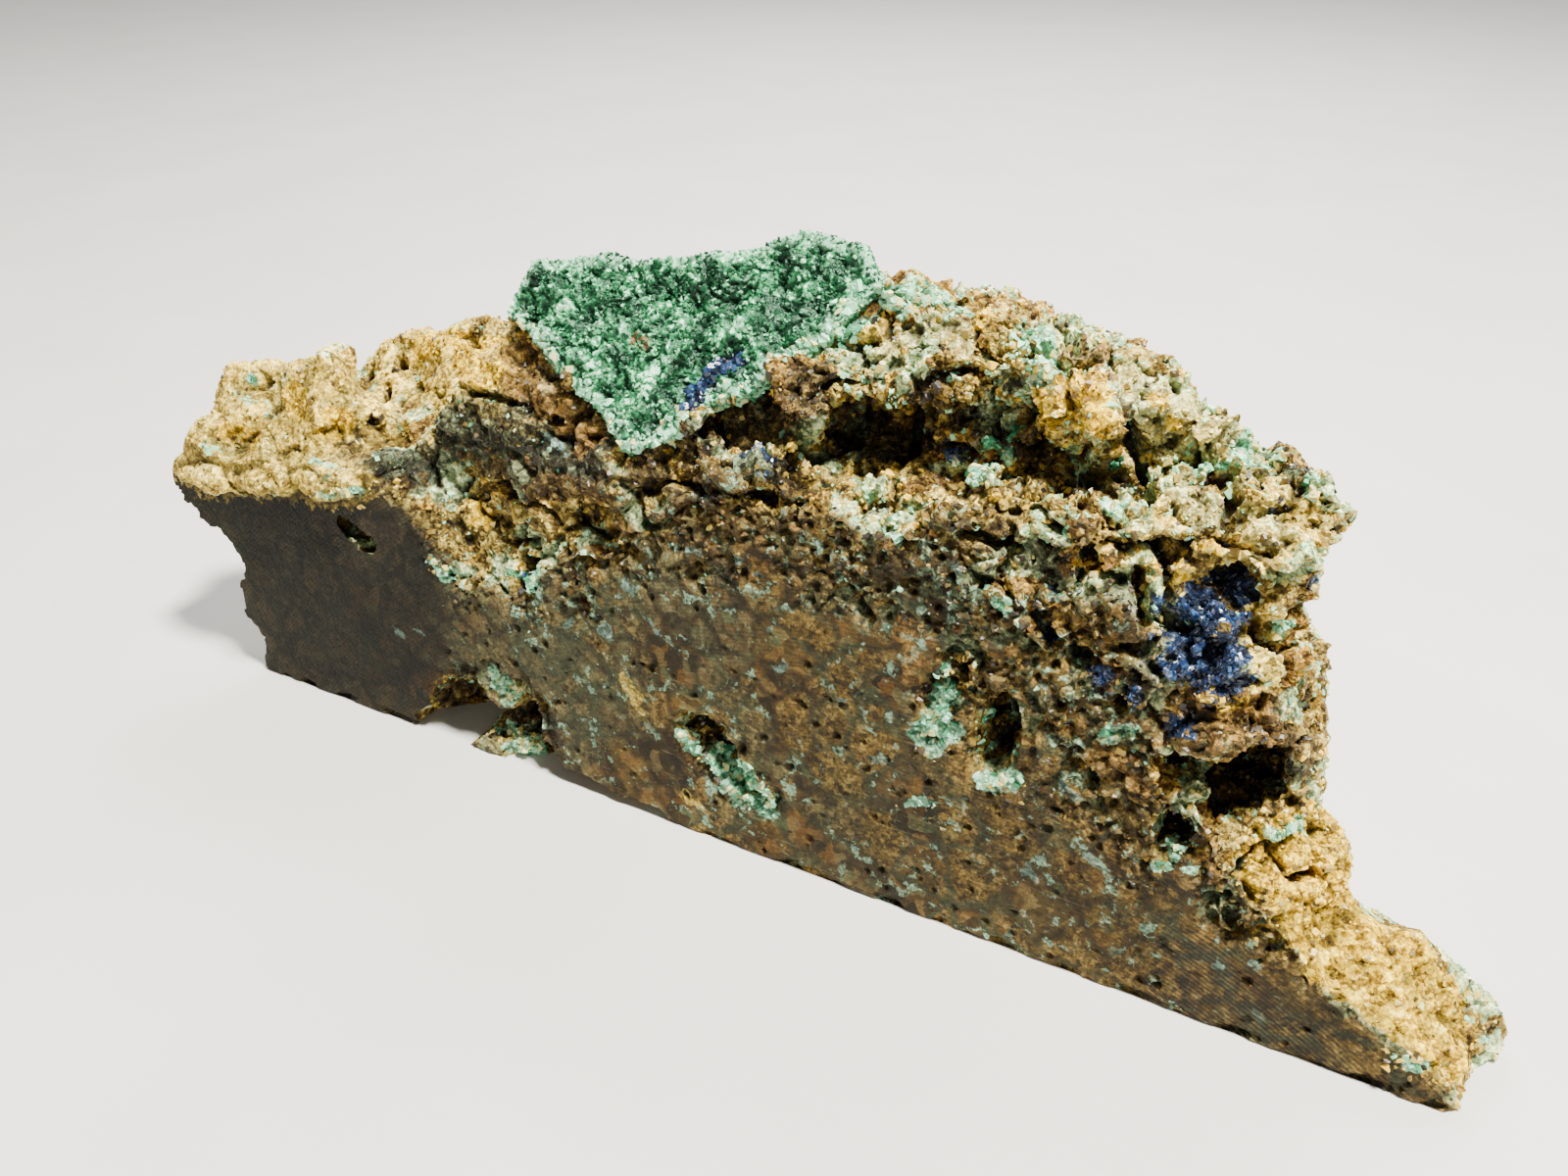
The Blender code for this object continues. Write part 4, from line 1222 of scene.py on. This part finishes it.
noise.seed_set(NOISE_SEED)
make_camera()
patches = find_patches(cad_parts["stone"])
stone = make_stone(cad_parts["stone"])
shape_stone(stone)
colour_stone(stone)
crust = make_crust()
crumb = crumb_finish()
malachite = malachite_finish()
azurite = azurite_finish()

# Loose grains on the broken rock, on the coarse parts of the sawn face and in its lined hollows
grains = grain_shapes(8, 21, 3)
small_grains = grain_shapes(6, 22, 2)
ground = ground_of(stone)
points = ground["points"]
sawn = on_saw(points, 0.4, 0.9)
open_ground = ~under_plate(points) * (points[:, 2] >= 0.4) * ~behind_rim(points)
coarse = coarse_share(points) * sawn * open_ground
rocky = (1 - sawn) * open_ground * np.clip(patch_field(points, "crumb") + 1.1, 0.45, 1)
rocky *= fade(-1.4, 0.2, ground["cavity"])
rocky *= (patch_field(points, "blue") < 0) * (patch_field(points, "crevice") < 0.2)
lined = fade(0.0, 0.3, vug_field(points, lined=True)) * (1 - lining_gaps(points, -0.2, 0.3))
green = np.clip(patch_field(points, "mint") + 0.3, 0, 1) * 0.5 + lined * (1 - hole_share(points)[0])
for name, shapes, weight, count, sizes, seed in [
    ("crumbs", grains, rocky + coarse * 0.1, 6000, (0.22, 0.56), 31),
    ("grit", small_grains, rocky + coarse * 0.3, 9000, (0.17, 0.42), 32),
    ("dust", small_grains, rocky + coarse * 0.8, 9000, (0.15, 0.38), 34),
    ("malachite_grains", grains, green * open_ground, 2600, (0.2, 0.65), 33),
]:
    dress(scatter(name, shapes, ground, weight, count, sizes, seed, kinds=grain_kinds), crumb)

# Azurite crystals on the rock and across the plate
crystals = crystal_shapes(5, 41, 6, 0.34, 0.7)
plate = ground_of(crust)
blue = np.clip(patch_field(drifted(points), "blue") + 0.1, 0, 1)
plate_blue = np.clip(patch_field(plate["points"], "blue") + 0.2, 0, 1)
rock_blue = scatter("azurite_crystals", crystals, ground, blue, 2400, (0.22, 0.72), 42, lean=0.65)
edge_blue = scatter("azurite_on_plate", crystals, plate, plate_blue, 320, (0.35, 0.95), 43, lean=0.65, sink=0)
dress(rock_blue, azurite)
dress(edge_blue, azurite)

# Grains along the plate's lower rim, and the fine crystals of its top
lower_rim = plate_line(PLATE_OUTLINE[-4:] + PLATE_OUTLINE[:10])
rim = fade(1.7, 0.3, line_distance(plate_places(plate["points"]), lower_rim))
top = fade(-1.6, -0.3, plate_height(plate["points"]))
needles = crystal_shapes(4, 51, 4, 0.3, 0.5)
rim_crumbs = scatter("rim_crumbs", grains, plate, rim, 900, (0.25, 0.75), 53, kinds=rim_kinds)
druse = scatter("malachite_druse", needles, plate, top, 6500, (0.15, 0.7), 52, lean=0.65, sink=0.1)
dress(rim_crumbs, crumb)
dress(druse, malachite)

dress(stone, gossan_finish(), 9)
dress(crust, malachite, 60)
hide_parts("stone")
make_table()
make_lights()
